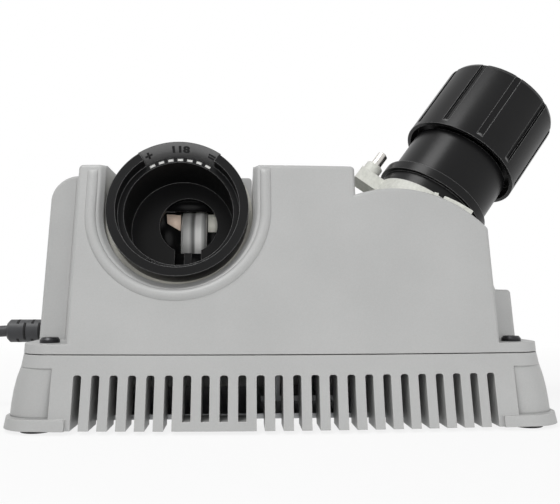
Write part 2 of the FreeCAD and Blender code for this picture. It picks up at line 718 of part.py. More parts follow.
WHEEL_EDGE = "wheel_radius - wheel_chamfer"
node(turned("wheel_disc", [("shaft_radius", "-wheel_width / 2"), (WHEEL_EDGE, "-wheel_width / 2"),
                           ("wheel_radius", "wheel_chamfer - wheel_width / 2"),
                           ("wheel_radius", "wheel_width / 2 - wheel_chamfer"),
                           (WHEEL_EDGE, "wheel_width / 2"), ("shaft_radius", "wheel_width / 2")]),
     "grinding_wheel", on_axle(WHEEL_AT))
SHAFT_LONG = "(motor_left + motor_length + cap_thick + travel_gap%s)" \
    % " - tube_along - wheel_side + wheel_width / 2 + nut_thick"
node(turned("shaft_bar", [(0, 0), ("shaft_radius", 0), ("shaft_radius", SHAFT_LONG), (0, SHAFT_LONG)]),
     "motor_shaft", on_axle(SHAFT_START))


def hexagon_nut():
    across = size("nut_flats") / math.sqrt(3)
    corners = [V(across * math.cos(math.radians(60 * k)), across * math.sin(math.radians(60 * k)), 0)
               for k in range(7)]
    nut = Part.Face(Part.makePolygon(corners)).extrude(V(0, 0, size("nut_thick")))
    return nut.cut(Part.makeCylinder(size("shaft_radius"), FAR, V(0, 0, -1)))


solid("wheel_nut", hexagon_nut(), on_axle(WHEEL_AT - size("wheel_width") / 2 - size("nut_thick")))

CAN_INNER = "motor_radius - can_wall"
can = turned("can_ring", [("bearing_radius", 0), ("motor_radius", 0), ("motor_radius", "motor_length"),
                          (CAN_INNER, "motor_length"), (CAN_INNER, "can_wall"), ("bearing_radius", "can_wall")])
node(can, "motor_can", on_axle(MOTOR_AT))
node(turned("cap_disc", [("bearing_radius", 0), ("motor_radius", 0), ("motor_radius", "cap_thick"),
                         ("bearing_radius", "cap_thick")]), "motor_end_cap", on_axle(MOTOR_END))
REAR_BEARING = MOTOR_END - size("bearing_width") + size("cap_thick")
for label, start in (("front_bearing", MOTOR_AT), ("rear_bearing", REAR_BEARING)):
    ring = tube(label + "_ring", "shaft_radius + running", "bearing_radius", 0, "bearing_width")
    node(ring, label, on_axle(start))

ARMATURE_AT = MOTOR_AT + size("bearing_width") + size("armature_in")
magnet_ring = tube("magnet_ring", CAN_INNER + " - magnet_thick", CAN_INNER, 0, "armature_length")
magnet_gap = box("magnet_gap", "3 * motor_radius", "motor_radius / 2", "2 * armature_length", (0, 0, "-1"))
node(cut("motor_magnets", magnet_ring, [magnet_gap]), "motor_magnets", on_axle(ARMATURE_AT))
CORE_RADIUS = CAN_INNER + " - magnet_thick - armature_gap"
node(tube("armature_core", "shaft_radius", CORE_RADIUS, 0, "armature_length"), "armature", on_axle(ARMATURE_AT))
COMMUTATOR_AT = ARMATURE_AT + size("armature_length")
node(tube("commutator_ring", "shaft_radius", "commutator_radius", 0, "commutator_length"), "commutator",
     on_axle(COMMUTATOR_AT))
brushes = [box("brush_%d" % index, "commutator_length / 2",
               "motor_radius - can_wall - commutator_radius - running - travel_gap",
               "commutator_length / 2",
               (0, "%d * (motor_radius - can_wall + commutator_radius + running - travel_gap) / 2" % side,
                "commutator_length / 4"))
           for index, side in enumerate((-1, 1))]
node(group("carbon_brushes", brushes), "carbon_brushes", on_axle(COMMUTATOR_AT))


def cooling_fan():
    """A hub with flat blades and a back disc."""
    hub, radius, width = 2 * size("shaft_radius"), size("fan_radius"), size("fan_width")
    thick = size("blade_thick")
    fan = Part.makeCylinder(hub, width).fuse(Part.makeCylinder(radius, thick))
    for index in range(int(size("blade_count"))):
        blade = block(hub - 1, -thick / 2, 0, radius, thick / 2, width)
        blade.rotate(V(0, 0, 0), V(0, 0, 1), 360 * index / size("blade_count"))
        fan = fan.fuse(blade)
    return fan.cut(Part.makeCylinder(size("shaft_radius"), FAR, V(0, 0, -1))).removeSplitter()


solid("cooling_fan", cooling_fan(), on_axle(MOTOR_AT - size("fan_gap") - size("fan_width")))


def wheel_shroud():
    """A light box round the wheel, open to the tube and downwards."""
    gap, wall = size("shroud_gap"), size("shroud_wall")
    half = size("wheel_width") / 2 + gap + size("nut_thick")
    reach = size("wheel_radius") + gap
    front = -(size("trough_depth") + size("wall") + size("seat_gap"))
    back = -(WHEEL_BACK + reach)
    up = size("tube_up")
    along = WHEEL_AT
    outer = block(along - half - wall, up - reach - wall, back - wall, along + half + wall, up + reach, front)
    inner = block(along - half, up - FAR, back, along + half, up + reach - wall, front + 1)
    hole = Part.makeCylinder(2 * size("shaft_radius"), FAR, V(along, up, -WHEEL_BACK), V(1, 0, 0))
    return in_face(outer.cut([inner, hole]))


solid("wheel_shroud", wheel_shroud())


def motor_bracket():
    """A foot on the bottom plate with two saddles under the motor can."""
    wide, thick, spread = size("bracket_wide"), size("bracket_thick"), size("bracket_spread")
    middle = MOTOR_AT + size("motor_length") / 2
    y0, y1 = AXLE.y - wide / 2, AXLE.y + wide / 2
    foot_half = spread / 2 + 3 * thick
    shape = block(middle - foot_half, y0, PLATE_TOP, middle + foot_half, y1, PLATE_TOP + size("bracket_foot"))
    for side in (-1, 1):
        x = middle + side * spread / 2
        shape = shape.fuse(block(x - thick / 2, y0, PLATE_TOP, x + thick / 2, y1, AXLE.z))
    seat = Part.makeCylinder(size("motor_radius") + size("seat_gap"), FAR, V(-FAR / 2, AXLE.y, AXLE.z),
                             V(1, 0, 0))
    return shape.cut(seat).removeSplitter()


solid("motor_bracket", motor_bracket())


# Alignment port and chuck, in the chuck's frame: Z runs up the chuck from its seat

CUP_BORE = "nose_radius + port_clearance"
CUP_OUT = CUP_BORE + " + port_wall"
CUP_LOW = "-port_depth - port_floor"
port_cup = turned("port_cup", [
    ("bit_bore", CUP_LOW), (CUP_OUT, CUP_LOW), (CUP_OUT, "-rim_height"), ("port_radius", "-rim_height"),
    ("port_radius", "-collar_drop"), (CUP_BORE, "-collar_drop"), (CUP_BORE, "-port_depth"),
    ("bit_bore", "-port_depth")])
port_arm = box("port_arm", "arm_reach - (%s)" % CUP_OUT, "arm_width", "arm_height",
               ("-(arm_reach + %s) / 2" % CUP_OUT, "-arm_width / 4", "-collar_drop - arm_height"))
PIN_LOW = "pin_floor + boss_rise - arm_height"
PIN_LONG = "arm_height + pin_show"
port_boss = rod("port_boss", "pin_boss", "collar_drop + arm_height + boss_rise",
                ("-pin_along", "-arm_width / 4", "-collar_drop - arm_height"))
port_pin_hole = rod("port_pin_hole", "pin_radius", PIN_LONG, ("-pin_along", "-arm_width / 4", PIN_LOW))
node(cut("alignment_port", joined("port_blank", [port_cup, port_arm, port_boss]), [port_pin_hole]),
     "alignment_port", CHUCK)
PIN_FOOT = V(-size("pin_along"), -size("arm_width") / 4, number(PIN_LOW))
node(turned("pin_bar", [(0, 0), ("pin_radius", 0), ("pin_radius", PIN_LONG + " - pin_chamfer"),
                        ("pin_radius - pin_chamfer", PIN_LONG), (0, PIN_LONG)]),
     "index_pin", CHUCK.multiply(FreeCAD.Placement(PIN_FOOT, FreeCAD.Rotation())))

KNOB_LOW = "flange_thick + neck_length"
SPIGOT_TOP = "flange_thick + neck_length + spigot_length"
chuck_blank = turned("chuck_blank", [
    ("bit_bore", "-nose_length"), ("nose_radius - nose_taper", "-nose_length"),
    ("nose_radius", "nose_slope - nose_length"), ("nose_radius", "-collar_drop"),
    ("collar_radius", "-collar_drop"), ("collar_radius", 0), ("flange_radius", 0),
    ("flange_radius", "flange_thick"), ("neck_radius", "flange_thick"), ("neck_radius", KNOB_LOW),
    ("spigot_radius", KNOB_LOW), ("spigot_radius", SPIGOT_TOP), ("bit_bore", SPIGOT_TOP)])


def jaw_turn(index):
    return FreeCAD.Rotation(V(0, 0, 1), 360 * index / size("jaw_count"))


def jaw_slots():
    gap, half = size("jaw_gap"), size("jaw_thick") / 2
    reach = size("jaw_inner") + size("jaw_length") + size("jaw_travel") + gap
    shapes = []
    for index in range(int(size("jaw_count"))):
        slot = block(0, -half - gap, -size("nose_length") - 1, reach, half + gap,
                     gap + size("jaw_height") - size("nose_length"))
        slot.Placement = FreeCAD.Placement(V(0, 0, 0), jaw_turn(index))
        shapes.append(slot)
    return shapes


chuck_relief = doc.addObject("Part::Feature", "chuck_relief")
chuck_relief.Shape = Part.makeCompound(jaw_slots())
node(cut("chuck_body", chuck_blank, [chuck_relief]), "chuck_body", CHUCK)
for index in range(int(size("jaw_count"))):
    jaw = box("jaw_blank_%d" % (index + 1), "jaw_length", "jaw_thick", "jaw_height",
              ("jaw_inner + jaw_length / 2", 0, "-nose_length"))
    label = "jaw_%d" % (index + 1)
    node(group(label, [jaw]), label, CHUCK.multiply(FreeCAD.Placement(V(0, 0, 0), jaw_turn(index))))

KNOB_TOP = "flange_thick + neck_length + knob_length"
KNOB_FLOOR = SPIGOT_TOP + " + travel_gap"
SKIRT_TOP = KNOB_LOW + " + skirt_deep"
SKIRT_BORE = "knob_radius - skirt_wall"
knob_blank = turned("knob_blank", [
    ("spigot_radius + running", SKIRT_TOP), (SKIRT_BORE, SKIRT_TOP), (SKIRT_BORE, KNOB_LOW),
    ("knob_radius", KNOB_LOW), ("knob_radius", KNOB_TOP + " - knob_top_round"),
    ("knob_radius - knob_top_round * 0.3", KNOB_TOP + " - knob_top_round * 0.3"),
    ("knob_radius - knob_top_round", KNOB_TOP), ("knob_hole", KNOB_TOP), ("knob_hole", KNOB_FLOOR),
    ("spigot_radius + running", KNOB_FLOOR)])


def knob_grooves():
    low = number(KNOB_LOW + " + groove_start")
    shapes = []
    for index in range(int(size("groove_count"))):
        groove = block(size("knob_radius") - size("groove_deep"), -size("groove_wide") / 2, low,
                       2 * size("knob_radius"), size("groove_wide") / 2, FAR)
        groove.rotate(V(0, 0, 0), V(0, 0, 1), 360 * (index + 0.5) / size("groove_count"))
        shapes.append(groove)
    return shapes


knob_relief = doc.addObject("Part::Feature", "knob_relief")
knob_relief.Shape = Part.makeCompound(knob_grooves())
node(cut("chuck_knob", knob_blank, [knob_relief]), "chuck_knob", CHUCK)
node(tube("drive_tube", "bit_bore - running - sleeve_wall", "bit_bore - running",
          "2 * jaw_gap + jaw_height - nose_length", KNOB_FLOOR), "drive_sleeve", CHUCK)


# Switch on the back wall

switch_at = BACK.multiply(FreeCAD.Placement(V(SWITCH_ALONG, size("switch_up"), 0), FreeCAD.Rotation()))
switch_case = box("switch_case", "switch_wide", "switch_tall", "switch_deep", (0, 0, "-switch_deep"))
switch_bezel = box("switch_bezel", "switch_wide + 2 * bezel_lap", "switch_tall + 2 * bezel_lap",
                   "bezel_thick")
switch_pocket = box("switch_pocket", "switch_wide - 2 * bezel_lap", "switch_tall - 2 * rocker_wall",
                    "switch_deep", (0, 0, "-switch_deep / 2"))
PIVOT_HALF = number("switch_wide / 2 - bezel_lap + pivot_reach")


def pivot(radius, half):
    """The rocker's round pivot, on its own X axis."""
    return Part.makeCylinder(radius, 2 * half, V(-half, 0, 0), V(1, 0, 0))


pivot_holes = doc.addObject("Part::Feature", "pivot_holes")
pivot_holes.Shape = pivot(size("pivot_radius") + size("running"), PIVOT_HALF + size("travel_gap"))
node(cut("switch_body", joined("switch_blank", [switch_case, switch_bezel]), [switch_pocket, pivot_holes]),
     "switch_body", switch_at)


def switch_rocker():
    """A rocker that tips on its pivot, narrower below so that it clears its pocket."""
    half = size("switch_tall") / 2 - size("rocker_wall") - 2 * size("rocker_gap")
    waist = half * 0.7
    deep = size("switch_deep") / 3
    long = size("switch_wide") - 2 * size("bezel_lap") - 2 * size("rocker_gap")
    top = size("bezel_thick") + size("rocker_rise")
    dip = size("bezel_thick")
    edges = runs(V(0, -half, top), V(0, -waist, -deep), V(0, waist, -deep), V(0, half, top))
    edges.append(Part.Arc(V(0, half, top), V(0, 0, dip), V(0, -half, top)))
    rocker = Part.Face(Part.Wire([edge.toShape() for edge in edges])).extrude(V(long, 0, 0))
    rocker.translate(V(-long / 2, 0, 0))
    return rocker.fuse(pivot(size("pivot_radius"), PIVOT_HALF)).removeSplitter()


solid("switch_rocker", switch_rocker(), switch_at)


# Lead: strain relief, clamp, inner wiring, cord, coil, tie and plug

WALL_X = -size("half_seam")
CORD = size("cord_diameter") / 2
RELIEF_AT = FreeCAD.Placement(V(WALL_X, size("relief_back"), size("relief_up")),
                              FreeCAD.Rotation(V(0, 1, 0), -90))
node(turned("relief_sleeve", [
    ("cord_diameter / 2", "-2 * wall"), ("relief_collar", "-2 * wall"), ("relief_collar", "-wall - seat_gap"),
    ("relief_radius", "-wall - seat_gap"), ("relief_radius", "seat_gap"), ("relief_collar", "seat_gap"),
    ("relief_collar", "relief_rim"), ("relief_radius", "relief_rim"),
    ("relief_radius", "relief_length - relief_taper"), ("relief_radius - relief_taper", "relief_length"),
    ("cord_diameter / 2", "relief_length")]), "strain_relief", RELIEF_AT)


def rounded_path(points, name):
    """Straight runs joined by arcs, each as large as its two runs allow, and the arcs' radii."""
    edges, radii = [], []
    start = points[0]
    for before, corner, after in zip(points, points[1:], points[2:]):
        back, ahead_way = (before - corner), (after - corner)
        run = min(back.Length, ahead_way.Length)
        back.normalize()
        ahead_way.normalize()
        half_turn = (math.pi - back.getAngle(ahead_way)) / 2
        trim = 0.45 * run
        radius = trim / math.tan(half_turn)
        radii.append(round(radius, 1))
        first, last = corner + back * trim, corner + ahead_way * trim
        middle = back + ahead_way
        middle.normalize()
        deep = radius / math.cos(half_turn) - radius
        edges.append(Part.LineSegment(start, first).toShape())
        edges.append(Part.Arc(first, corner + middle * deep, last).toShape())
        start = last
    edges.append(Part.LineSegment(start, points[-1]).toShape())
    print(name, "arc radii", radii)
    return Part.Wire(edges)


def swept(path, radius):
    """A round bar along a path, square to its start."""
    start = path.Edges[0].valueAt(path.Edges[0].FirstParameter)
    way = path.Edges[0].tangentAt(path.Edges[0].FirstParameter)
    ring = Part.Wire(Part.makeCircle(radius, start, way))
    return path.makePipeShell([ring], True, False)


def bar_along(points, diameter, name):
    path = rounded_path(points, name)
    bar = swept(path, diameter / 2)
    ideal = math.pi * diameter ** 2 / 4 * path.Length
    print(name, "length %.1f, volume over section times length %.4f" % (path.Length, bar.Volume / ideal))
    return bar


LAYER = CORD + size("coil_lift")
EXIT = V(WALL_X - size("relief_length"), size("relief_back"), size("relief_up"))
ROUTE = [EXIT, V(-183, 20, 42), V(-215, 21.5, 27.5), V(-251, 25.5, LAYER), V(-287, 25.5, LAYER)]
solid("power_cord", bar_along(ROUTE, size("cord_diameter"), "power_cord"))
COIL_START = ROUTE[-1]
COIL_CENTRE = COIL_START + V(-size("cord_diameter"), -size("coil_outer"), 0)


def half_turns():
    """The coil's half turns: in along the lower layer, a climb, and out along the upper one.

    Each has its radius and its height; the joints lie on the line through the middle along Y."""
    count = 2 * int(size("coil_turns"))
    step = size("coil_pitch") / 2
    lower = [size("coil_outer") - step * index for index in range(count)]
    inmost = size("coil_outer") - step * count
    return lower, inmost, lower[::-1]


def coil_path():
    lower, inmost, upper = half_turns()
    rise = size("coil_pitch")
    point = COIL_START
    edges = [Part.LineSegment(point, point - V(size("cord_diameter"), 0, 0)).toShape()]
    point = point - V(size("cord_diameter"), 0, 0)
    side = -1

    def flat_turn(start, radius, way):
        end = start + V(0, 2 * radius * way, 0)
        edges.append(Part.Arc(start, start + V(radius * way, radius * way, 0), end).toShape())
        return end
    for radius in lower:
        point = flat_turn(point, radius, side)
        side = -side
    bulge = math.hypot(inmost, rise / 2)
    middle = point + V(bulge * side, inmost * side, rise / 2)
    end = point + V(0, 2 * inmost * side, rise)
    edges.append(tangent_arc(point, V(side, 0, 0), middle))
    edges.append(tangent_arc(end, V(side, 0, 0), middle, True))
    point = end
    side = -side
    for radius in upper:
        point = flat_turn(point, radius, side)
        side = -side
    tail = point + V(size("tail_length") * side, 0, 0)
    edges.append(Part.LineSegment(point, tail).toShape())
    return Part.Wire(edges), tail


def tangent_arc(start, way, end, reverse=False):
    """The arc from one point to another that leaves the first along a given way."""
    chord = end - start
    across = chord - way * chord.dot(way)
    radius = chord.dot(chord) / (2 * across.Length)
    across.normalize()
    centre = start + across * radius
    toward = (start + end) * 0.5 - centre
    toward.normalize()
    middle = centre + toward * radius
    if reverse:
        return Part.Arc(end, middle, start).toShape()
    return Part.Arc(start, middle, end).toShape()


def least_gap(path, apart, diameter):
    """The least clear distance of a wound tube to itself, on points along its path."""
    points = path.discretize(Distance=apart)
    skip = int(3 * diameter / apart)
    nearest = min(points[i].distanceToPoint(points[j])
                  for i in range(len(points)) for j in range(i + skip, len(points)))
    return nearest - diameter


coil_wire, COIL_END = coil_path()
print("cord_coil length %.1f, least gap to itself %.2f"
      % (coil_wire.Length, least_gap(coil_wire, 3, size("cord_diameter"))))
solid("cord_coil", swept(coil_wire, CORD))


def coil_tie():
    """A strap round the turns on the coil's right side."""
    lower, inmost, upper = half_turns()
    gap, thick = size("tie_gap"), size("tie_thick")
    aside = (size("tie_width") + size("coil_pitch")) / 2
    x0 = COIL_CENTRE.x + math.sqrt((lower[-1] - CORD) ** 2 - aside ** 2) - gap
    x1 = COIL_CENTRE.x + lower[1] + CORD + gap
    z0, z1 = LAYER - CORD - gap, LAYER + size("coil_pitch") + CORD + gap
    y0 = COIL_CENTRE.y - size("tie_width") / 2
    y1 = y0 + size("tie_width")
    band = block(x0 - thick, y0, z0 - thick, x1 + thick, y1, z1 + thick)
    round_edges = [edge for edge in band.Edges if edge.BoundBox.YLength > 1]
    return band.makeFillet(2 * thick, round_edges).cut(block(x0, y0 - 1, z0, x1, y1 + 1, z1))


solid("coil_tie", coil_tie())

PLUG_AT = FreeCAD.Placement(COIL_END, FreeCAD.Rotation(V(0, 1, 0), 90))


def plug_body():
    """A moulded plug: a tapered relief, a waist and a square-shouldered head, lying on its side."""
    wide, tall = size("plug_wide") / 2, size("plug_tall") / 2
    relief, long = size("plug_relief"), size("plug_length")

    def ring(half_tall, half_wide, height):
        bend = 0.4 * min(half_tall, half_wide)
        plate = block(-half_tall, -half_wide, height, half_tall, half_wide, height + 1)
        upright_edges = [edge for edge in plate.Edges if edge.BoundBox.ZLength > 0.5]
        rounded = plate.makeFillet(bend, upright_edges)
        return [face for face in rounded.Faces if face.CenterOfMass.z < height + 1e-6][0].OuterWire
    sections = [ring(CORD * 1.3, CORD * 1.3, 0), ring(CORD * 1.7, CORD * 1.7, relief),
                ring(tall * 0.85, wide * 0.85, relief + long * 0.4), ring(tall, wide, relief + long * 0.65),
                ring(tall, wide, relief + long)]
    return Part.makeLoft(sections, True, True)


def plug_pins():
    """Two flat blades and a round earth pin."""
    start = size("plug_relief") + size("plug_length")
    shapes = []
    for side in (-1, 1):
        middle = side * size("prong_apart") / 2
        blade = centred(size("prong_wide"), size("prong_thick"), start, start + size("prong_length"),
                        -size("earth_drop") / 2, middle)
        shapes.append(blade)
    earth = Part.makeCylinder(size("earth_radius"), size("prong_length") + size("earth_extra"),
                              V(size("earth_drop"), 0, start))
    return Part.makeCompound(shapes + [earth])


solid("plug_body", plug_body(), PLUG_AT)
solid("plug_pins", plug_pins(), PLUG_AT)

RELIEF_IN = WALL_X + 2 * size("wall")
CLAMP_X = max(number("clamp_gap + 2 * post_radius + wall - half_low"), RELIEF_IN + size("clamp_gap"))


def cord_clamp():
    """A split block on the bottom plate that grips the lead behind its relief."""
    half = size("clamp_size") / 2
    y, z = size("relief_back"), size("relief_up")
    clamp = block(CLAMP_X, y - half, PLATE_TOP, CLAMP_X + half, y + half, z + half)
    return clamp.cut(Part.makeCylinder(size("lead_diameter") / 2, FAR, V(WALL_X, y, z), V(1, 0, 0)))


solid("cord_clamp", cord_clamp())


def switch_tag(along, up, away):
    """A point behind one of the switch's terminals, away from its back face."""
    return switch_at.multVec(V(along, up, -size("switch_deep") - away))


lead_route = [V(RELIEF_IN, size("relief_back"), size("relief_up")),
              V(CLAMP_X + size("lead_straight"), size("relief_back"), size("relief_up")),
              V(-55, 36, 36), V(0, 44, 30), V(38, 38, 38), V(58, 24, 50),
              switch_tag(0, -4, 14), switch_tag(0, -4, size("travel_gap"))]
motor_route = [switch_tag(6, 5, size("travel_gap")), switch_tag(6, 5, 10), V(52, 30, 86), V(44, 28, AXLE.z),
               V(MOTOR_END + size("cap_thick"), 28, AXLE.z)]
wires = [bar_along(lead_route, size("lead_diameter"), "mains lead"),
         bar_along(motor_route, size("lead_diameter") * 0.8, "motor lead")]
solid("internal_wiring", Part.makeCompound(wires))


# Check every object, then write each sub-part

doc.recompute()
for thing in doc.Objects:
    if "Invalid" in thing.State or "Error" in thing.State:
        raise RuntimeError("%s failed: %s" % (thing.Name, thing.State))
for thing in NODES:
    if thing.Shape.isNull() or not thing.Shape.isValid():
        raise RuntimeError("%s has no valid shape" % thing.Label)
os.makedirs("parts", exist_ok=True)
for thing in NODES:
    thing.Shape.exportStep("parts/%s.step" % thing.Label)
    print(thing.Label, len(thing.Shape.Solids), "solids, %.0f mm3" % thing.Shape.Volume)
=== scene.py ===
# %% [markdown]
# # A bench drill bit sharpener
# The packed model is the fixed frame of this scene: every housing, wheel and chuck piece is already in
# its place, in metres. Here it is dressed: finishes for each moulding, the dial's marks, the lead and
# the light.

# %% Load the frame
import bpy
import bmesh
import json
import math
from mathutils import Matrix, Vector


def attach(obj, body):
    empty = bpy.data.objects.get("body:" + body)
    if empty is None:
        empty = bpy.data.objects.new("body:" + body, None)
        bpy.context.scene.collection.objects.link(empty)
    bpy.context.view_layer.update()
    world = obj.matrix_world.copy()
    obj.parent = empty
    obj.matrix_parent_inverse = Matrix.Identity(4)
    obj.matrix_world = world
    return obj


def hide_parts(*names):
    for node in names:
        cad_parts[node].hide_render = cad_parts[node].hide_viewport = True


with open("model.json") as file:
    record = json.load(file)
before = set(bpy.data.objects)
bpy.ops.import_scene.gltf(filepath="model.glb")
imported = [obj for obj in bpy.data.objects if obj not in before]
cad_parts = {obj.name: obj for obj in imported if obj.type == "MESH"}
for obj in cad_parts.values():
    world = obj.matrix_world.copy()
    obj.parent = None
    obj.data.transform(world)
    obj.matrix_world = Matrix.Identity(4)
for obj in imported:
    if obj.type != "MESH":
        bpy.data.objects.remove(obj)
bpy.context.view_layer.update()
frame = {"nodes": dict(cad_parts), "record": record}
nodes = frame["nodes"]

# %% [markdown]
# ## Camera
# The sharpener is seen from just in front, a little to the left and low down, so the lens looks slightly
# up and to the right. The place, the turn and the lens were solved from corners of the base.

# %% Camera
EYE = Vector((-0.0225, -0.384, 0.0633))
TURN, PITCH = math.radians(3.30), math.radians(3.55)
LENS, SENSOR, NEAREST = 44.55, 36, 0.01


def link(name, data):
    """A new object in the scene."""
    shown = bpy.data.objects.new(name, data)
    bpy.context.scene.collection.objects.link(shown)
    return shown


def aimed(at, way):
    """The placing of a camera or a lamp that looks along a way."""
    return Matrix.Translation(at) @ way.to_track_quat("-Z", "Y").to_matrix().to_4x4()


look = Vector((math.sin(TURN) * math.cos(PITCH), math.cos(TURN) * math.cos(PITCH), math.sin(PITCH)))
camera = link("camera", bpy.data.cameras.new("camera"))
camera.data.lens = LENS
camera.data.sensor_width = SENSOR
camera.data.clip_start = NEAREST
camera.matrix_world = aimed(EYE, look)
bpy.context.scene.camera = camera
print("camera at", [round(x, 4) for x in EYE])

# %% [markdown]
# ## Shader maths as Python
# A finish is easier to read as a formula than as a pile of nodes. This small class wraps one output
# socket, turns plus, minus and times into Math nodes, and has one method that adds any other node.


# %% A socket that can be added and multiplied
class Wire:
    def __init__(self, tree, socket=None):
        self.tree = tree
        self.socket = socket

    def add(self, kind, settings=None, inputs=None, out=0):
        """Adds a node: its settings first, then the values or links of its sockets."""
        node = self.tree.nodes.new("ShaderNode" + kind)
        for name, value in (settings or {}).items():
            if name == "stops":
                ramp = node.color_ramp.elements
                for _ in range(len(value) - len(ramp)):
                    ramp.new(1)
                for stop, (at, colour) in zip(ramp, value):
                    stop.position = at
                    stop.color = colour
            else:
                setattr(node, name, value)
        for name, value in (inputs or {}).items():
            if isinstance(value, Wire):
                self.tree.links.new(value.socket, node.inputs[name])
            else:
                node.inputs[name].default_value = value
        return Wire(self.tree, node.outputs[out])

    def maths(self, operation, first, second):
        return self.add("Math", {"operation": operation}, {0: first, 1: second})

    def __add__(self, other):
        return self.maths("ADD", self, other)

    def __radd__(self, other):
        return self.maths("ADD", other, self)

    def __sub__(self, other):
        return self.maths("SUBTRACT", self, other)

    def __rsub__(self, other):
        return self.maths("SUBTRACT", other, self)

    def __mul__(self, other):
        return self.maths("MULTIPLY", self, other)

    def __rmul__(self, other):
        return self.maths("MULTIPLY", other, self)


print("a wire adds nodes by", [name for name in vars(Wire) if not name.startswith("_")])

# %% [markdown]
# ## Finishes
# Moulded plastic has a fine spark-eroded grain, a slow drift of tone and edges that catch the light. Each
# finish could be wired by itself, but they differ only in numbers, so all of them start from one recipe: a
# slow noise moves the colour and the gloss, a fine noise feeds a bump, and a bevel lookup rounds the sharp
# edges so that they shine as real mouldings do.

# %% Starting a finish
FINISHES = {}


def first_node(tree, kind):
    """The node of a kind that a new tree already holds."""
    return next(item for item in tree.nodes if item.type == kind)


def begin(name):
    """A new finish: its shader and the place on the surface."""
    made = bpy.data.materials.new(name)
    made.use_nodes = True
    FINISHES[name] = made
    return first_node(made.node_tree, "BSDF_PRINCIPLED"), Wire(made.node_tree).add("TexCoord", out="Object")


def plug_in(wire, skin, socket):
    wire.tree.links.new(wire.socket, skin.inputs[socket])


print("finishes so far", len(FINISHES))

# %% Noise, drifting tones and rounded edges
NOISE_MEAN = 0.5
DARKEST_AT, LIGHTEST_AT = 0.3, 0.7
EDGE_SAMPLES = 6
HIGHLIGHT_GAIN = 5


def grain(place, scale, detail, stretch=(1, 1, 1)):
    """Noise in metres: one over the scale is about the size of a grain."""
    spread = place.add("VectorMath", {"operation": "MULTIPLY"}, {0: place, 1: stretch})
    return place.add("TexNoise", None, {"Vector": spread, "Scale": scale, "Detail": detail}, "Fac")


def drifting(mask, colour, drift):
    """A colour that a mask moves from a little darker to a little lighter."""
    dark, light = ((*(part * times for part in colour), 1) for times in (1 - drift, 1 + drift))
    return mask.add("ValToRGB", {"stops": [(DARKEST_AT, dark), (LIGHTEST_AT, light)]}, {"Fac": mask}, "Color")


def tinted(mask, low, high):
    """Mixes two colours, either of which may be a wire."""
    return mask.add("Mix", {"data_type": "RGBA"}, {0: mask, 6: low, 7: high}, 2)


def rounding(place, radius):
    """The normal of a surface whose edges are rounded by a small radius."""
    return place.add("Bevel", {"samples": EDGE_SAMPLES}, {"Radius": radius})


def edges(place, radius):
    """A mask of the sharp edges: where the rounded normal leaves the true one."""
    normals = {0: rounding(place, radius), 1: place.add("NewGeometry", out="Normal")}
    alike = place.add("VectorMath", {"operation": "DOT_PRODUCT"}, normals, "Value")
    return place.add("Math", {"operation": "MULTIPLY", "use_clamp": True}, {0: 1 - alike, 1: HIGHLIGHT_GAIN})


def relief(place, height, strength, depth, edge):
    """A normal from a height, over edges rounded by a small radius, or left sharp where that is 0."""
    inputs = {"Height": height, "Strength": strength, "Distance": depth}
    if edge:
        inputs["Normal"] = rounding(place, edge)
    return place.add("Bump", None, inputs)


print("worn edges gain", HIGHLIGHT_GAIN)

# %% Moulded and metal recipes
SLOW_SCALE = 22
SLOW_SHARE, SPECK_SHARE = 0.6, 0.4
SATIN_SWING, SPECK_DEPTH = 0.16, 0.0002
MARK_SWING, MARK_STRENGTH, MARK_DEPTH = 0.3, 0.25, 0.0001


def moulded(name, colour, drift, rough, fine, bump, edge=0.0007, painted_highlight=None, specular=0.5):
    """Moulded plastic or rubber; its sharp edges may be painted a lighter colour, a painted highlight."""
    skin, place = begin(name)
    slow, speck = grain(place, SLOW_SCALE, detail=4), grain(place, fine, detail=2)
    tone = drifting(slow * SLOW_SHARE + speck * SPECK_SHARE, colour, drift)
    # Painted highlight: a lighter colour along every sharp edge, for the light lines that edges catch.
    if painted_highlight:
        tone = tinted(edges(place, edge), tone, (*painted_highlight, 1))
    plug_in(tone, skin, "Base Color")
    plug_in(rough + (slow - NOISE_MEAN) * SATIN_SWING, skin, "Roughness")
    plug_in(relief(place, speck, bump, SPECK_DEPTH, edge), skin, "Normal")
    skin.inputs["Specular IOR Level"].default_value = specular


def metal(name, colour, drift, rough, fine, stretch, edge, metallic=1.0):
    """Ground, plated or drawn metal, with its tool marks along one way."""
    skin, place = begin(name)
    marks = grain(place, fine, detail=4, stretch=stretch)
    plug_in(drifting(marks, colour, drift), skin, "Base Color")
    plug_in(rough + (marks - NOISE_MEAN) * MARK_SWING, skin, "Roughness")
    plug_in(relief(place, marks, MARK_STRENGTH, MARK_DEPTH, edge), skin, "Normal")
    skin.inputs["Metallic"].default_value = metallic


print("slow drift about", round(1000 / SLOW_SCALE), "mm long")
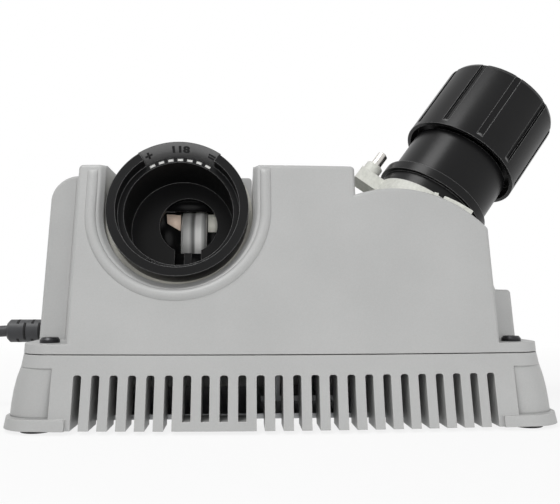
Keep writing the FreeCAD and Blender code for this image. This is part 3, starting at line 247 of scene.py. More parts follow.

# %% [markdown]
# The grey shells are a satin plastic with a fine speckle. The tube and the chuck are a deep black with a
# low sheen. On the grey, black, pale and plug plastics a lighter colour is painted along every sharp edge,
# as a painted highlight of the light lines that edges catch. The port, the tube's carrier and the wheel's
# shroud look like bare nylon, mottled and a little yellow. One call for each keeps them easy to compare:
# colour, drift of tone, roughness, grains in a metre and strength of the bump.

# %% Plastics and rubbers
moulded("housing_grey", (0.405, 0.407, 0.403), drift=0.07, rough=0.44, fine=1500, bump=0.09,
        painted_highlight=(0.56, 0.56, 0.55))
moulded("black_plastic", (0.005, 0.005, 0.0053), drift=0.25, rough=0.32, fine=1600, bump=0.04, edge=0.0005,
        painted_highlight=(0.2, 0.2, 0.2), specular=0.18)
moulded("dial_grey", (0.1, 0.1, 0.1), drift=0.12, rough=0.42, fine=1700, bump=0.15, edge=0)
moulded("pale_plastic", (0.58, 0.585, 0.54), drift=0.22, rough=0.52, fine=600, bump=0.12,
        painted_highlight=(0.72, 0.72, 0.7))
moulded("cream_plastic", (0.52, 0.51, 0.46), drift=0.1, rough=0.48, fine=900, bump=0.2)
moulded("pane_white", (0.7, 0.7, 0.68), drift=0.04, rough=0.4, fine=1500, bump=0.1, edge=0)
# The two cheeks' colours are made extra light: painted light for the light that falls into the cavity behind
# the tube's hole.
moulded("cheek_beige", (0.9, 0.72, 0.59), drift=0.06, rough=0.5, fine=900, bump=0.2, edge=0)
moulded("cheek_pale", (0.9, 0.89, 0.8), drift=0.06, rough=0.45, fine=900, bump=0.2, edge=0)
moulded("rubber", (0.014, 0.014, 0.0145), drift=0.15, rough=0.68, fine=1500, bump=0.25, specular=0.3)
moulded("cord_rubber", (0.035, 0.036, 0.039), drift=0.12, rough=0.5, fine=1700, bump=0.15, edge=0)
moulded("plug_black", (0.022, 0.022, 0.023), drift=0.12, rough=0.5, fine=1700, bump=0.15,
        painted_highlight=(0.06, 0.06, 0.06))
moulded("magnet", (0.05, 0.05, 0.055), drift=0.1, rough=0.55, fine=1200, bump=0.2, edge=0.0004)
moulded("carbon", (0.03, 0.03, 0.03), drift=0.15, rough=0.6, fine=1800, bump=0.3, edge=0.0004)
print("plastics", len(FINISHES))

# %% [markdown]
# The metals differ in their tool marks. The bright steel's run upwards, the copper's and the brass's from
# side to side and the plating's from front to back, while the blackened screws have none along one way.
# Marks along one way are a noise that is stretched that way.

# %% Metals
metal("bright_steel", (0.6, 0.58, 0.55), drift=0.12, rough=0.26, fine=1400, stretch=(1, 1, 0.1), edge=0.0003)
metal("dark_steel", (0.03, 0.03, 0.032), drift=0.2, rough=0.36, fine=1200, stretch=(1, 1, 1), edge=0.0004,
      metallic=0.7)
metal("zinc_plate", (0.46, 0.47, 0.48), drift=0.12, rough=0.36, fine=300, stretch=(1, 0.3, 1), edge=0.0004)
metal("copper", (0.72, 0.38, 0.2), drift=0.15, rough=0.3, fine=900, stretch=(0.1, 1, 1), edge=0.0003)
metal("prong_brass", (0.72, 0.58, 0.3), drift=0.1, rough=0.26, fine=900, stretch=(0.1, 1, 1), edge=0.0003)
print("finishes", len(FINISHES))

# %% [markdown]
# The wheel is a steel drum with grit plated on its rim. Its rim is painted in bright and dark bands across
# its width: a painted highlight streak and painted shade, where a shiny drum would catch and lose the light.
# A ramp across the wheel's width gives the bands, and a noise that is long round the rim and short across
# it breaks them up.

# %% The wheel
WHEEL_LEFT, WHEEL_WIDE = -0.0548, 0.014
PAINTED_BANDS = ((0.0, 0.8), (0.09, 0.4), (0.3, 0.6), (0.44, 0.16), (0.5, 0.2), (0.56, 0.85), (0.76, 0.95),
         (0.86, 0.42), (0.93, 0.18), (1.0, 0.7))
WARMTH, WANDER = 0.98, 0.08
GRIT_ROUGH, GRIT_SWING, GRIT_METAL = 0.3, 0.2, 0.15
SCRATCHES, ROUND_THE_RIM = 900, (1, 0.04, 0.04)
SCRATCH_BUMP, SCRATCH_DEPTH, RIM_EDGE = 0.3, 0.0001, 0.0003

skin, place = begin("wheel_grit")
across = place.add("SeparateXYZ", None, {0: place}, "X")
scratch = grain(place, SCRATCHES, detail=3, stretch=ROUND_THE_RIM)
share = (across - WHEEL_LEFT) * (1 / WHEEL_WIDE) + (scratch - NOISE_MEAN) * WANDER
# Painted highlight and shade: light and dark bands across the wheel's width.
stops = [(at, (tone, tone, tone * WARMTH, 1)) for at, tone in PAINTED_BANDS]
plug_in(share.add("ValToRGB", {"stops": stops}, {"Fac": share}, "Color"), skin, "Base Color")
plug_in(GRIT_ROUGH + scratch * GRIT_SWING, skin, "Roughness")
plug_in(relief(place, scratch, SCRATCH_BUMP, SCRATCH_DEPTH, RIM_EDGE), skin, "Normal")
skin.inputs["Metallic"].default_value = GRIT_METAL
print("wheel rings", len(PAINTED_BANDS))

# %% [markdown]
# The record gives every node a slot, and each slot has a finish of the same name. So one loop dresses them
# all, and a node that is added later is dressed too.

# %% Each node takes the finish of its slot
for row in frame["record"]["subparts"]:
    for slot in nodes[row["node"]].material_slots:
        slot.material = FINISHES[row["material_slot"]]

# %% [markdown]
# ## The lead
# A flexible lead hangs in one smooth curve, so it is a NURBS curve whose control points are the route's few
# points, and not a bent pipe. It leaves the relief level, sinks to just above the bench and is wound there
# into a neat coil of two layers, which lies on its tie. Each half turn of the coil gives eight points, set
# so that the curve has its radius.

# %% Route and coil
THICK = 0.0064
route = [(-0.1535, 0.020, 0.043), (-0.183, 0.020, 0.042), (-0.215, 0.0215, 0.0275),
         (-0.251, 0.0255, 0.0047), (-0.287, 0.0255, 0.0047)]
COIL_X, COIL_END_X = -0.2934, -0.2654
OUTER, STEP, RISE, LOW = 0.0485, 0.00345, 0.0069, 0.0047
HALF_TURNS, POINTS_EACH = 6, 8

radii = [OUTER - STEP * k for k in range(HALF_TURNS)]
half_turns = [(radius, LOW, 0) for radius in radii]
half_turns.append((OUTER - STEP * HALF_TURNS, LOW, RISE))
half_turns += [(radius, LOW + RISE, 0) for radius in reversed(radii)]
points = list(route)
y, way = route[-1][1], -1
for radius, height, climb in half_turns:
    middle = y + way * radius
    reach = radius / math.cos(math.pi / (2 * POINTS_EACH))
    for k in range(POINTS_EACH):
        share = (k + 0.5) / POINTS_EACH
        angle = -way * math.pi / 2 + share * math.pi
        points.append((COIL_X + reach * math.cos(angle), middle + reach * math.sin(angle),
                       height + climb * share))
    y += way * 2 * radius
    way = -way
points.append((COIL_END_X, y, LOW + RISE))
print("route of", len(points), "points, to", [round(v, 4) for v in points[-1]])

# %% The lead's curve
line = bpy.data.curves.new("lead", "CURVE")
line.dimensions = "3D"
line.bevel_depth = THICK / 2
line.bevel_resolution = 5
line.resolution_u = 6
line.use_fill_caps = True
spline = line.splines.new("NURBS")
spline.points.add(len(points) - 1)
for control, at in zip(spline.points, points):
    control.co = (*at, 1)
spline.order_u = 3
spline.use_endpoint_u = True
line.materials.append(FINISHES["cord_rubber"])
lead = link("lead", line)
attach(lead, "housing")
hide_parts("power_cord", "cord_coil")
print("lead", THICK, "thick")

# %% [markdown]
# ## Working frames
# The small pieces below are drawn in the frames that the solids were drawn in: the leaning front face,
# the tube's mouth, the chuck's seat and the back wall. A matrix for each one, in metres, is far easier to
# read than worked-out corners, and a helper turns points and faces into a piece that rides on its body.

# %% Frames
LEAN, TILT, LEAN_BACK = math.radians(13), math.radians(36.3), math.radians(5)
HALF_DEPTH = 0.065
MOUTH = (-0.0534, 0.1088)
SEAT = (0.083884, 0.125162, -0.038)


def axes(at, along, up, out):
    """A frame at a place, from the ways of its three axes."""
    return Matrix.Translation(at) @ Matrix((along, up, out)).transposed().to_4x4()


FACE = axes((0, -HALF_DEPTH, 0), (1, 0, 0), (0, math.sin(LEAN), math.cos(LEAN)),
            (0, -math.cos(LEAN), math.sin(LEAN)))
TUBE = FACE @ Matrix.Translation((*MOUTH, 0))
CHUCK = FACE @ axes(SEAT, (math.cos(TILT), -math.sin(TILT), 0), (0, 0, -1),
                    (math.sin(TILT), math.cos(TILT), 0))
BACK = axes((0, HALF_DEPTH, 0), (-1, 0, 0), (0, -math.sin(LEAN_BACK), math.cos(LEAN_BACK)),
            (0, math.cos(LEAN_BACK), math.sin(LEAN_BACK)))
print("chuck's seat at", [round(v, 4) for v in CHUCK.translation])


# %% The piece helper
def piece(name, where, shape, body, slot, finish=None, bevel=0.0):
    """Points and faces drawn in a frame, as a piece that rides on a body and takes a slot's finish."""
    points, faces = shape
    mesh = bpy.data.meshes.new(name)
    mesh.from_pydata([where @ Vector(point) for point in points], [], faces)
    skin = bmesh.new()
    skin.from_mesh(mesh)
    bmesh.ops.recalc_face_normals(skin, faces=skin.faces)
    skin.to_mesh(mesh)
    skin.free()
    mesh.polygons.foreach_set("use_smooth", [True] * len(mesh.polygons))
    mesh.materials.append(FINISHES[finish or slot])
    shown = link(name, mesh)
    if bevel:
        soft = shown.modifiers.new("edges", "BEVEL")
        soft.width = bevel
        soft.segments = 3
        soft.limit_method = "ANGLE"
        soft.harden_normals = True
    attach(shown, body)
    print(name, len(points), "points")
    return shown


# %% Sweeps, prisms and groups
def rows(count, wide, closed=True):
    """Faces of a sweep: so many sections of so many points, each a closed ring or an open strip."""
    reach = wide if closed else wide - 1
    faces = [(i * wide + j, i * wide + (j + 1) % wide, (i + 1) * wide + (j + 1) % wide, (i + 1) * wide + j)
             for i in range(count - 1) for j in range(reach)]
    if closed:
        faces += [tuple(range(wide)), tuple(range((count - 1) * wide, count * wide))]
    return faces


def prism(corners, back, front):
    """A flat outline given a thickness."""
    points = [(x, y, z) for z in (back, front) for x, y in corners]
    return points, rows(2, len(corners))


def slab(across, up, back, front):
    """A box between two places across, two up and two out."""
    corners = ((across[0], up[0]), (across[1], up[0]), (across[1], up[1]), (across[0], up[1]))
    return prism(corners, back, front)


def placed(where, shape):
    """A shape moved into another frame."""
    points, faces = shape
    return [where @ Vector(point) for point in points], faces


def joined(shapes):
    """Several shapes as one."""
    points, faces = [], []
    for more, sides in shapes:
        faces += [tuple(len(points) + i for i in face) for face in sides]
        points += more
    return points, faces


print("a slab has", len(slab((0, 1), (0, 1), 0, 1)[1]), "faces")

# %% [markdown]
# ## The bead round the trough
# A raised bead runs down one side of the tube's trough, round under it and up the other side, and gives
# the face its bright double line. It could be an outline pushed out of the shell, but the shell is bowed,
# so a pushed bead would vary in height. Here a rounded section is swept along the line instead, and every
# point is lifted from the bowed face by the same rule, so the bead is even and dies out at its two ends.

# %% The bowed front
CHORD, SAG = 0.1115, 0.006
BOW = (CHORD ** 2 + SAG ** 2) / (2 * SAG)


def on_shell(along, up, lift):
    """A point on the bowed front, lifted along the face's normal."""
    return (along, up, lift - (BOW - math.sqrt(BOW ** 2 - along ** 2)) * math.cos(LEAN))


print("front bowed to a radius of", round(BOW, 3))

# %% Bead
BEAD_IN, BEAD_WIDE, BEAD_HIGH = 0.0408, 0.0056, 0.0014
BEAD_TOPS = {-1: 0.1316, 1: 0.1312}
BEAD_FADE, BEAD_FULLNESS = 0.003, 0.8
BEAD_SINK, BEAD_ROOT = 0.00005, 0.0006
SIDE_STEPS, BEND_STEPS, SECTION_STEPS = 24, 48, 10

left_drop, right_rise = BEAD_TOPS[-1] - MOUTH[1], BEAD_TOPS[1] - MOUTH[1]
path = [(-1, 0, BEAD_TOPS[-1] - k * left_drop / SIDE_STEPS) for k in range(SIDE_STEPS)]
path += [(-math.cos(math.pi * k / BEND_STEPS), -math.sin(math.pi * k / BEND_STEPS), MOUTH[1])
         for k in range(BEND_STEPS + 1)]
path += [(1, 0, MOUTH[1] + k * right_rise / SIDE_STEPS) for k in range(1, SIDE_STEPS + 1)]
points = []
for side, down, height in path:
    fade = min(1.0, (BEAD_TOPS[side] - height) / BEAD_FADE) ** 0.5 if down == 0 else 1.0
    section = [(BEAD_IN + BEAD_WIDE * k / SECTION_STEPS,
                BEAD_HIGH * fade * math.sin(math.pi * k / SECTION_STEPS) ** BEAD_FULLNESS - BEAD_SINK)
               for k in range(SECTION_STEPS + 1)]
    section += [(BEAD_IN + BEAD_WIDE, -BEAD_ROOT), (BEAD_IN, -BEAD_ROOT)]
    points += [on_shell(MOUTH[0] + side * reach, height + down * reach, lift) for reach, lift in section]
piece("mouth_bead", FACE, (points, rows(len(path), len(section))), "housing", "housing_grey")

# %% [markdown]
# ## The base's front corners
# Beside the slotted panel the base turns its corner in one smooth flared wall, which is level with the band
# at the top, lies behind the panel lower down and swells at its side. Its outline is an arc with two straight
# ends, at each height pushed out by a little more or less, so the wall is a stack of such outlines.

# %% Outline of a corner
CORNER, SKIN = 0.0154, 0.0012
CENTRE, CENTRE_HEIGHT = (0.1156, -0.0386), 0.008
SIDE_LEAN, FRONT_LEAN = 0.13, 0.235
HEIGHTS = (0.0063, 0.012, 0.018, 0.024, 0.0292)
FRONT_SWELL = (0.0002, 0.0006, 0.0012, 0.0020, 0.00265)
SIDE_SWELL = (0.0010, 0.0016, 0.0018, 0.0013, 0.0)
SWELL_TURN = 1.3
PANEL_EDGE, PANEL_LAP = 0.1094, 0.0006
PROUD, TUCK = 0.00012, 0.0001
SIDE_RUN = 0.026
ARC_STEPS, RUN_STEPS = 24, 8


def between(table, height):
    """A value read from a table of the heights."""
    for low, high, first, last in zip(HEIGHTS, HEIGHTS[1:], table, table[1:]):
        if height <= high:
            return first + (last - first) * (height - low) / (high - low)
    return table[-1]


def corner_outline(height, inset):
    """The right corner's outline at a height, from the panel's edge round to the side."""
    x = CENTRE[0] - (height - CENTRE_HEIGHT) * SIDE_LEAN
    y = CENTRE[1] + (height - CENTRE_HEIGHT) * FRONT_LEAN
    front, side = between(FRONT_SWELL, height), between(SIDE_SWELL, height)
    outline = [(PANEL_EDGE, y - CORNER - front - PANEL_LAP + inset)]
    for k in range(ARC_STEPS + 1):
        turn = math.pi / 2 * k / ARC_STEPS
        share = math.cos(turn) ** SWELL_TURN if k < ARC_STEPS else 0.0
        reach = CORNER + PROUD + front * share + side * (1 - share) - inset
        outline.append((x + reach * math.sin(turn), y - reach * math.cos(turn)))
    for k in range(1, RUN_STEPS + 1):
        ease = (1 - k / RUN_STEPS) ** 2
        outline.append((x + CORNER - TUCK + (side + 2 * TUCK) * ease - inset, y + SIDE_RUN * k / RUN_STEPS))
    return outline


print("corner outline has", len(corner_outline(HEIGHTS[0], 0)), "points")

# %% Base corners
LAYERS = 20


def corner_wall(side):
    """The wall of one corner: side is -1 at the left and 1 at the right."""
    points = []
    for k in range(LAYERS + 1):
        height = HEIGHTS[0] + (HEIGHTS[-1] - HEIGHTS[0]) * k / LAYERS
        ring = corner_outline(height, 0) + corner_outline(height, SKIN)[::-1]
        points += [(side * x, y, height) for x, y in ring]
    return points, rows(LAYERS + 1, len(ring))


piece("base_corners", Matrix(), joined([corner_wall(-1), corner_wall(1)]), "housing", "housing_grey")

# %% [markdown]
# ## The dial
# The slope at the top of the tube's mouth is the point-angle dial: a dark grey face with black marks. The
# face is a thin sheet laid on the slope. The marks start as text, which Blender turns into flat meshes;
# each point is then rolled onto the cone, along the slope by its height and round the axis by its place.

# %% Dial face
SLOPE_FOOT, SLOPE_TOP = Vector((0.0305, -0.006)), Vector((0.0378, 0.001))
SLOPE = (SLOPE_TOP - SLOPE_FOOT).normalized()
SWEEP, SWEEP_STEPS = math.radians(34.4), 20
SHEET_FOOT, SHEET_TOP = 0.0003, 0.0079
SHEET_UNDER, SHEET_OVER = 0.00002, 0.0001


def on_dial(angle, climb, lift):
    """A point on the dial: an angle to the right of the top, a way up the slope and a lift from it."""
    radius = SLOPE_FOOT.x + SLOPE.x * climb - SLOPE.y * lift
    height = SLOPE_FOOT.y + SLOPE.y * climb + SLOPE.x * lift
    return (radius * math.sin(angle), radius * math.cos(angle), height)


sheet = ((SHEET_FOOT, SHEET_UNDER), (SHEET_FOOT, SHEET_OVER),
         (SHEET_TOP, SHEET_OVER), (SHEET_TOP, SHEET_UNDER))
turns = [SWEEP * (k / SWEEP_STEPS - 1) for k in range(2 * SWEEP_STEPS + 1)]
points = [on_dial(angle, climb, lift) for angle in turns for climb, lift in sheet]
piece("dial_face", TUBE, (points, rows(len(turns), len(sheet))), "tube", "black_plastic", "dial_grey")

# %% Dial marks
CAPITALS, BOLDER = 0.7, 0.00024
MARK_RADIUS, MARK_CLIMB, MARK_LIFT = 0.0336, 0.0042, 0.00018


def dial_mark(name, words, tall, middle, widen):
    """Text rolled onto the dial, its middle at an angle to the right of the top."""
    text = bpy.data.curves.new(name, "FONT")
    text.body = words
    text.size = tall / CAPITALS
    text.align_x = "CENTER"
    text.offset = BOLDER
    text.resolution_u = 4
    flat = bpy.data.objects.new(name, text)
    mesh = bpy.data.meshes.new_from_object(flat)
    bpy.data.objects.remove(flat)
    highest = max(point.co.y for point in mesh.vertices)
    lowest = min(point.co.y for point in mesh.vertices)
    points = []
    for point in mesh.vertices:
        x, y = point.co.x * widen, point.co.y - (highest + lowest) / 2
        points.append(on_dial(math.radians(middle) + x / MARK_RADIUS, MARK_CLIMB + y, MARK_LIFT))
    faces = [tuple(face.vertices) for face in mesh.polygons]
    piece(name, TUBE, (points, faces), "tube", "rubber")


dial_mark("mark_more", "+", tall=0.0046, middle=-28, widen=1.1)
dial_mark("mark_angle", "118", tall=0.0033, middle=0, widen=1.4)
dial_mark("mark_less", "=", tall=0.0044, middle=29, widen=1.1)

# %% [markdown]
# Under the dial a row of seven small windows shows white. Each one could be a painted spot, but a real pane
# catches the light: it is a bevelled slab that fills its pocket, a little below the step, so that the black
# edge round it stays visible.

# %% Window panes
PANES, PANE_TURN = 7, 9.7
PANE_RADIUS, PANE_HEIGHT = 0.0289, -0.0073
PANE_ACROSS, PANE_UP, PANE_DEEP = 0.00142, 0.00068, 0.0011

pane = slab((-PANE_ACROSS, PANE_ACROSS), (PANE_RADIUS - PANE_UP, PANE_RADIUS + PANE_UP),
            PANE_HEIGHT - PANE_DEEP, PANE_HEIGHT + PANE_DEEP)
spins = [Matrix.Rotation(math.radians((PANES // 2 - k) * PANE_TURN), 4, "Z") for k in range(PANES)]
panes = joined(placed(spin, pane) for spin in spins)
piece("window_panes", TUBE, panes, "tube", "pale_plastic", "pane_white", bevel=0.0002)

# %% [markdown]
# ## The guard in front of the wheel
# Through the hole in the tube's floor the wheel shows only in a slot: a black guard hides it above and
# below, and a beige and a pale cheek stand at its sides. The guard is seated in the rear shell, behind the
# tube's back and clear of the wheel, so that both can turn. It is flat, so a few slabs draw it best: two
# bars with a web behind each, and two plates that carry the cheeks.

# %% Guard and cheeks
GUARD_BACK, GUARD_FRONT, CHEEK_FRONT = -0.0411, -0.0406, -0.0401
BAR_BACK, BAR_FRONT, WEB = -0.0369, -0.0364, 0.0015
WHEEL_SIDES = (-0.0019, 0.0131)
UPPER_ACROSS, UPPER_FOOT, UPPER_TOP = (-0.014, 0.020), 0.0116, 0.019
LOWER_ACROSS, LOWER_FOOT, LOWER_TOP = (-0.006, 0.016), -0.023, -0.0125
PLATE_ENDS, PLATE_UP = (-0.017, 0.020), (-0.015, 0.0125)
LEFT_CHEEK = ((-0.0097, 0.0112), (-0.0093, 0.006), (WHEEL_SIDES[0], 0.0015), (WHEEL_SIDES[0], 0.0108))
RIGHT_CHEEK_END, RIGHT_CHEEK_UP = 0.0195, (0.001, 0.0112)

guard = [slab(UPPER_ACROSS, (UPPER_FOOT, UPPER_TOP), BAR_BACK, BAR_FRONT),
         slab(UPPER_ACROSS, (UPPER_TOP - WEB, UPPER_TOP), GUARD_BACK, BAR_BACK),
         slab(LOWER_ACROSS, (LOWER_FOOT, LOWER_TOP), BAR_BACK, BAR_FRONT),
         slab(LOWER_ACROSS, (LOWER_FOOT, LOWER_FOOT + WEB), GUARD_BACK, BAR_BACK),
         slab((PLATE_ENDS[0], WHEEL_SIDES[0]), PLATE_UP, GUARD_BACK, GUARD_FRONT),
         slab((WHEEL_SIDES[1], PLATE_ENDS[1]), PLATE_UP, GUARD_BACK, GUARD_FRONT)]
piece("wheel_guard", TUBE, joined(guard), "housing", "black_plastic")
piece("guard_cheek_left", TUBE, prism(LEFT_CHEEK, GUARD_FRONT, CHEEK_FRONT), "housing", "cream_plastic",
      "cheek_beige")
right_cheek = slab((WHEEL_SIDES[1], RIGHT_CHEEK_END), RIGHT_CHEEK_UP, GUARD_FRONT, CHEEK_FRONT)
piece("guard_cheek_right", TUBE, right_cheek, "housing", "pale_plastic", "cheek_pale")

# %% [markdown]
# ## Chuck and port
# The knob's grooves end in small ramps that catch the light, and are given a lighter grey than the black knob
# as a painted highlight; two pale clips of the port hook over the front edge of the arch. The ramps are
# wedges set round the knob; the clips are short bars that follow the arch's circle, so both are drawn from
# few sections.

# %% Groove ramps
GROOVES, GROOVE_FOOT, GROOVE_HALF = 10, 0.0348, 0.0017
RAMP = ((0.0319, 0), (0.03345, 0), (0.0333, 0.001), (0.0327, 0.002), (0.0319, 0.0026))

flat, ramp_faces = prism(RAMP, -GROOVE_HALF, GROOVE_HALF)
ramp = [(x, y, GROOVE_FOOT + z) for x, z, y in flat], ramp_faces
spins = [Matrix.Rotation(math.radians(360 / GROOVES * (k + 0.5)), 4, "Z") for k in range(GROOVES)]
ramps = joined(placed(spin, ramp) for spin in spins)
# The lighter dial grey on the ramps is a painted highlight at the grooves' ends.
piece("groove_ramps", CHUCK, ramps, "knob", "black_plastic", "dial_grey")

# %% Port clips
ARCH_MIDDLE, ARCH_RADIUS = (0.058, 0.0582), 0.0637
CLIP_ROOT, CLIP_FRONT, CLIP_BACK, CLIP_STEPS = -0.0016, -0.0022, -0.0075, 8
CLIP_ALONG = 0.085
CLIP_SETBACK = SAG * (CLIP_ALONG / CHORD) ** 2


def clip(name, first, last, thick):
    """A bar along the arch, between two places along the face."""
    start, end = (math.acos((along - ARCH_MIDDLE[0]) / ARCH_RADIUS) for along in (first, last))
    section = ((CLIP_ROOT, CLIP_FRONT), (thick, CLIP_FRONT), (thick, CLIP_BACK), (CLIP_ROOT, CLIP_BACK))
    points = []
    for k in range(CLIP_STEPS + 1):
        turn = start + (end - start) * k / CLIP_STEPS
        for lift, deep in section:
            reach = ARCH_RADIUS + lift
            points.append((ARCH_MIDDLE[0] + reach * math.cos(turn), ARCH_MIDDLE[1] + reach * math.sin(turn),
                           deep - CLIP_SETBACK))
    shape = points, rows(CLIP_STEPS + 1, len(section))
    piece(name, FACE, shape, "housing", "pale_plastic", bevel=0.0004)


clip("port_clip_short", first=0.0775, last=0.0797, thick=0.0024)
clip("port_clip_long", first=0.0825, last=0.0965, thick=0.0022)

# %% [markdown]
# ## Screws, switch and lead fittings
# A screw is read by its drive, so each head gets a dark cross, painted shade where the drive's recess would
# be.
# The rocker carries a white bar and ring, the strain relief's cut-outs, which let it bend, are dark bands of
# painted shade where its openings would be, and the plug has grip ribs. All could be cut into the solids,
# but at this size thin inlays look the same and leave the solids alone.

# %% Screw drives
DRIVE_DEEP, DRIVE_TOPS = -0.0002, (0.00004, 0.00003)
DRIVE_TURN = Matrix.Rotation(math.radians(25), 4, "Z")
CASE_HALF, CASE_FRONT, CASE_REAR, CASE_TOP = 0.1155, -0.036, 0.045, 0.0426
COVER_HALF, COVER_UP, COVER_TOP = 0.021, 0.084, 0.0038
CASE_SCREWS = [(x, y, CASE_TOP) for x in (-CASE_HALF, CASE_HALF) for y in (CASE_FRONT, CASE_REAR)]
COVER_SCREWS = [(x - MOUTH[0], COVER_UP, COVER_TOP) for x in (-COVER_HALF, COVER_HALF)]


def drive_shade(name, where, spots, long, wide):
    """Two dark bars across the head at each spot of a frame: painted shade of the drive's recess."""
    bars = [slab((-x, x), (-y, y), DRIVE_DEEP, top)
            for x, y, top in zip((long, wide), (wide, long), DRIVE_TOPS)]
    shapes = [placed(where @ Matrix.Translation(spot) @ DRIVE_TURN, bar) for spot in spots for bar in bars]
    piece(name, Matrix(), joined(shapes), "housing", "rubber")


drive_shade("case_screw_drives", Matrix(), CASE_SCREWS, long=0.0024, wide=0.0005)
drive_shade("cover_screw_drives", BACK, COVER_SCREWS, long=0.0009, wide=0.00025)

# %% Rocker marks
SWITCH = BACK @ Matrix.Translation((-0.066, 0.062, 0))
ROCKER_FACE, ROCKER_BOW = 0.00208, 0.0174
RING_UP, RING_REACH, RING_STEPS = -0.0045, (0.0013, 0.0019), 32
BAR_FOOT, BAR_LONG, BAR_HALF, BAR_STEPS = 0.0026, 0.0038, 0.0003, 8


def on_rocker(x, y):
    """A point just above the rocker's hollow face."""
    return (x, y, ROCKER_FACE + y * y / (2 * ROCKER_BOW))


turns = [2 * math.pi * k / RING_STEPS for k in range(RING_STEPS)]
ring = [on_rocker(reach * math.cos(turn), RING_UP + reach * math.sin(turn))
        for turn in turns for reach in RING_REACH]
ring_faces = [(2 * k, 2 * k + 1, (2 * k + 3) % len(ring), (2 * k + 2) % len(ring)) for k in range(RING_STEPS)]
piece("rocker_ring", SWITCH, (ring, ring_faces), "rocker", "pale_plastic", "pane_white")
bar = [on_rocker(x, BAR_FOOT + BAR_LONG * k / BAR_STEPS)
       for k in range(BAR_STEPS + 1) for x in (-BAR_HALF, BAR_HALF)]
bar_faces = rows(BAR_STEPS + 1, 2, closed=False)
piece("rocker_bar", SWITCH, (bar, bar_faces), "rocker", "pale_plastic", "pane_white")

# %% Relief cut-outs
CUTS, CUT_FIRST, CUT_STEP, CUT_WIDE = 4, -0.1345, 0.004, 0.0014
CUT_IN, CUT_OUT = 0.0060, 0.00645
CUT_SPAN, CUT_TURN = 48, 8
_, EXIT_Y, EXIT_Z = route[0]


def cut_out(along, middle):
    """A dark band on the relief, either side of an angle: painted shade where a cut-out would open."""
    section = ((CUT_IN, along), (CUT_OUT, along), (CUT_OUT, along - CUT_WIDE), (CUT_IN, along - CUT_WIDE))
    turns = [math.radians(middle + turn) for turn in range(-CUT_SPAN, CUT_SPAN + 1, CUT_TURN)]
    points = [(x, EXIT_Y + reach * math.cos(turn), EXIT_Z + reach * math.sin(turn))
              for turn in turns for reach, x in section]
    return points, rows(len(turns), len(section))


bands = [cut_out(CUT_FIRST - CUT_STEP * k, side + 90 * (k % 2)) for k in range(CUTS) for side in (0, 180)]
piece("relief_cutouts", Matrix(), joined(bands), "housing", "rubber")

# %% Plug ribs
RIBS, RIB_FIRST, RIB_STEP = 4, -0.2366, 0.0026
RIB_TALL, RIB_PROUD, RIB_FULLNESS, RIB_STEPS = 0.0124, 0.0018, 0.4, 8
RIB_FOOT, RIB_CROWN = 0.0008, 0.0005
PLUG_Y, PLUG_Z, PLUG_HALF = -0.0715, 0.0116, 0.0110


def rib(along, side):
    """An upright rib on one side of the plug."""
    points = []
    for k in range(RIB_STEPS + 1):
        height = PLUG_Z - RIB_TALL / 2 + RIB_TALL * k / RIB_STEPS
        swell = RIB_PROUD * math.sin(math.pi * k / RIB_STEPS) ** RIB_FULLNESS
        section = ((-RIB_FOOT, 0), (-RIB_CROWN, swell), (RIB_CROWN, swell), (RIB_FOOT, 0))
        points += [(along + x, PLUG_Y + side * (PLUG_HALF + out), height) for x, out in section]
    return points, rows(RIB_STEPS + 1, len(section))


shapes = [rib(RIB_FIRST + RIB_STEP * k, side) for side in (-1, 1) for k in range(RIBS)]
ribs = piece("plug_ribs", Matrix(), joined(shapes), "housing", "plug_black")

# %% [markdown]

print("plug ribs drawn")

# %% [markdown]
# ## Floor and light
# The object stands on a white ground in broad, soft light. A real white sheet would need so much light that
# the object would bleach, so the floor and the backdrop glow white only to the rays that look at them:
# straight from the camera, mirrored or refracted. The floor glows less close to the object, where it still
# takes the shadow, and runs into the backdrop unseen.

# %% Floor
FLOOR_HALF, FLOOR_LEVEL = 6, -0.0002
FLOOR_GREY, FLOOR_ROUGH = 0.85, 0.9
SHADE_NEAR, SHADE_FAR, SHADE_GLOW = 0.12, 0.6, 0.84
WHITE = (1, 1, 1, 1)


def looking(start):
    """One for the rays that look at the ground: from the camera, mirrored or refracted."""
    seen = start.add("LightPath", out="Is Camera Ray")
    mirrored = start.add("LightPath", out="Is Glossy Ray")
    refracted = start.add("LightPath", out="Is Transmission Ray")
    return seen + mirrored + refracted


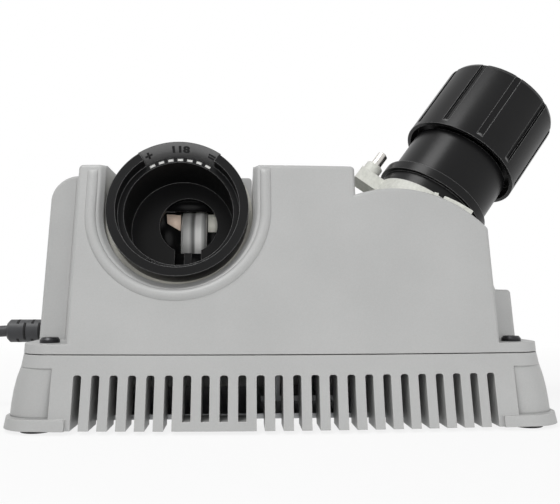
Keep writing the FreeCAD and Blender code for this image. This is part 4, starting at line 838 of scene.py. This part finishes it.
plane = bpy.data.meshes.new("floor")
corners = [(x * FLOOR_HALF, y * FLOOR_HALF, FLOOR_LEVEL) for x, y in ((-1, -1), (1, -1), (1, 1), (-1, 1))]
plane.from_pydata(corners, [], [(0, 1, 2, 3)])
floor = link("floor", plane)
skin, place = begin("floor")
skin.inputs["Base Color"].default_value = (FLOOR_GREY, FLOOR_GREY, FLOOR_GREY, 1)
skin.inputs["Roughness"].default_value = FLOOR_ROUGH
glow = place.add("Emission", None, {"Color": WHITE, "Strength": 1.0})
away = place.add("VectorMath", {"operation": "LENGTH"}, {0: place}, "Value")
share = place.add("MapRange", None, {0: away, 1: SHADE_NEAR, 2: SHADE_FAR, 3: SHADE_GLOW, 4: 1.0})
matt = Wire(place.tree, skin.outputs[0])
mixed = place.add("MixShader", None, {"Fac": share * looking(place), 1: matt, 2: glow})
plug_in(mixed, first_node(place.tree, "OUTPUT_MATERIAL"), "Surface")
plane.materials.append(FINISHES["floor"])
print("floor glows fully beyond", SHADE_FAR)

# %% Backdrop
SKY = 0.36

world = bpy.data.worlds.new("studio")
bpy.context.scene.world = world
world.use_nodes = True
sky = Wire(world.node_tree)
plug_in(tinted(looking(sky), (SKY, SKY, SKY, 1), WHITE), first_node(world.node_tree, "BACKGROUND"), "Color")
print("sky lights at", SKY)

# %% [markdown]
# The main lamp hangs high, in front and to the left, too high for the black tube's mouth to mirror it. Two
# low ones fill the base from the front. They stand for white cards, whose bounce is too soft to show as a
# highlight, so they light surfaces but aren't mirrored in them.


# %% Lamps
def lamp(name, at, aim, size, power, mirrored=True):
    """A soft box at a place, aimed at another."""
    made = bpy.data.lights.new(name, "AREA")
    made.shape = "RECTANGLE"
    made.size, made.size_y = size
    made.energy = power
    shown = link(name, made)
    shown.visible_glossy = mirrored
    shown.matrix_world = aimed(at, Vector(aim) - Vector(at))


lamp("key", at=(-0.42, -0.42, 1.2), aim=(-0.02, 0, 0.08), size=(0.6, 0.45), power=9)
lamp("right", at=(0.8, -0.95, 0.1), aim=(0.08, 0, 0.04), size=(0.5, 0.3), power=2.5, mirrored=False)
lamp("front", at=(0.12, -1.3, 0.06), aim=(0, 0, 0.06), size=(0.8, 0.25), power=6, mirrored=False)
bpy.context.scene.view_settings.view_transform = "Standard"
print("lamps", [item.name for item in bpy.data.lights])

# %% [markdown]
# ## Close
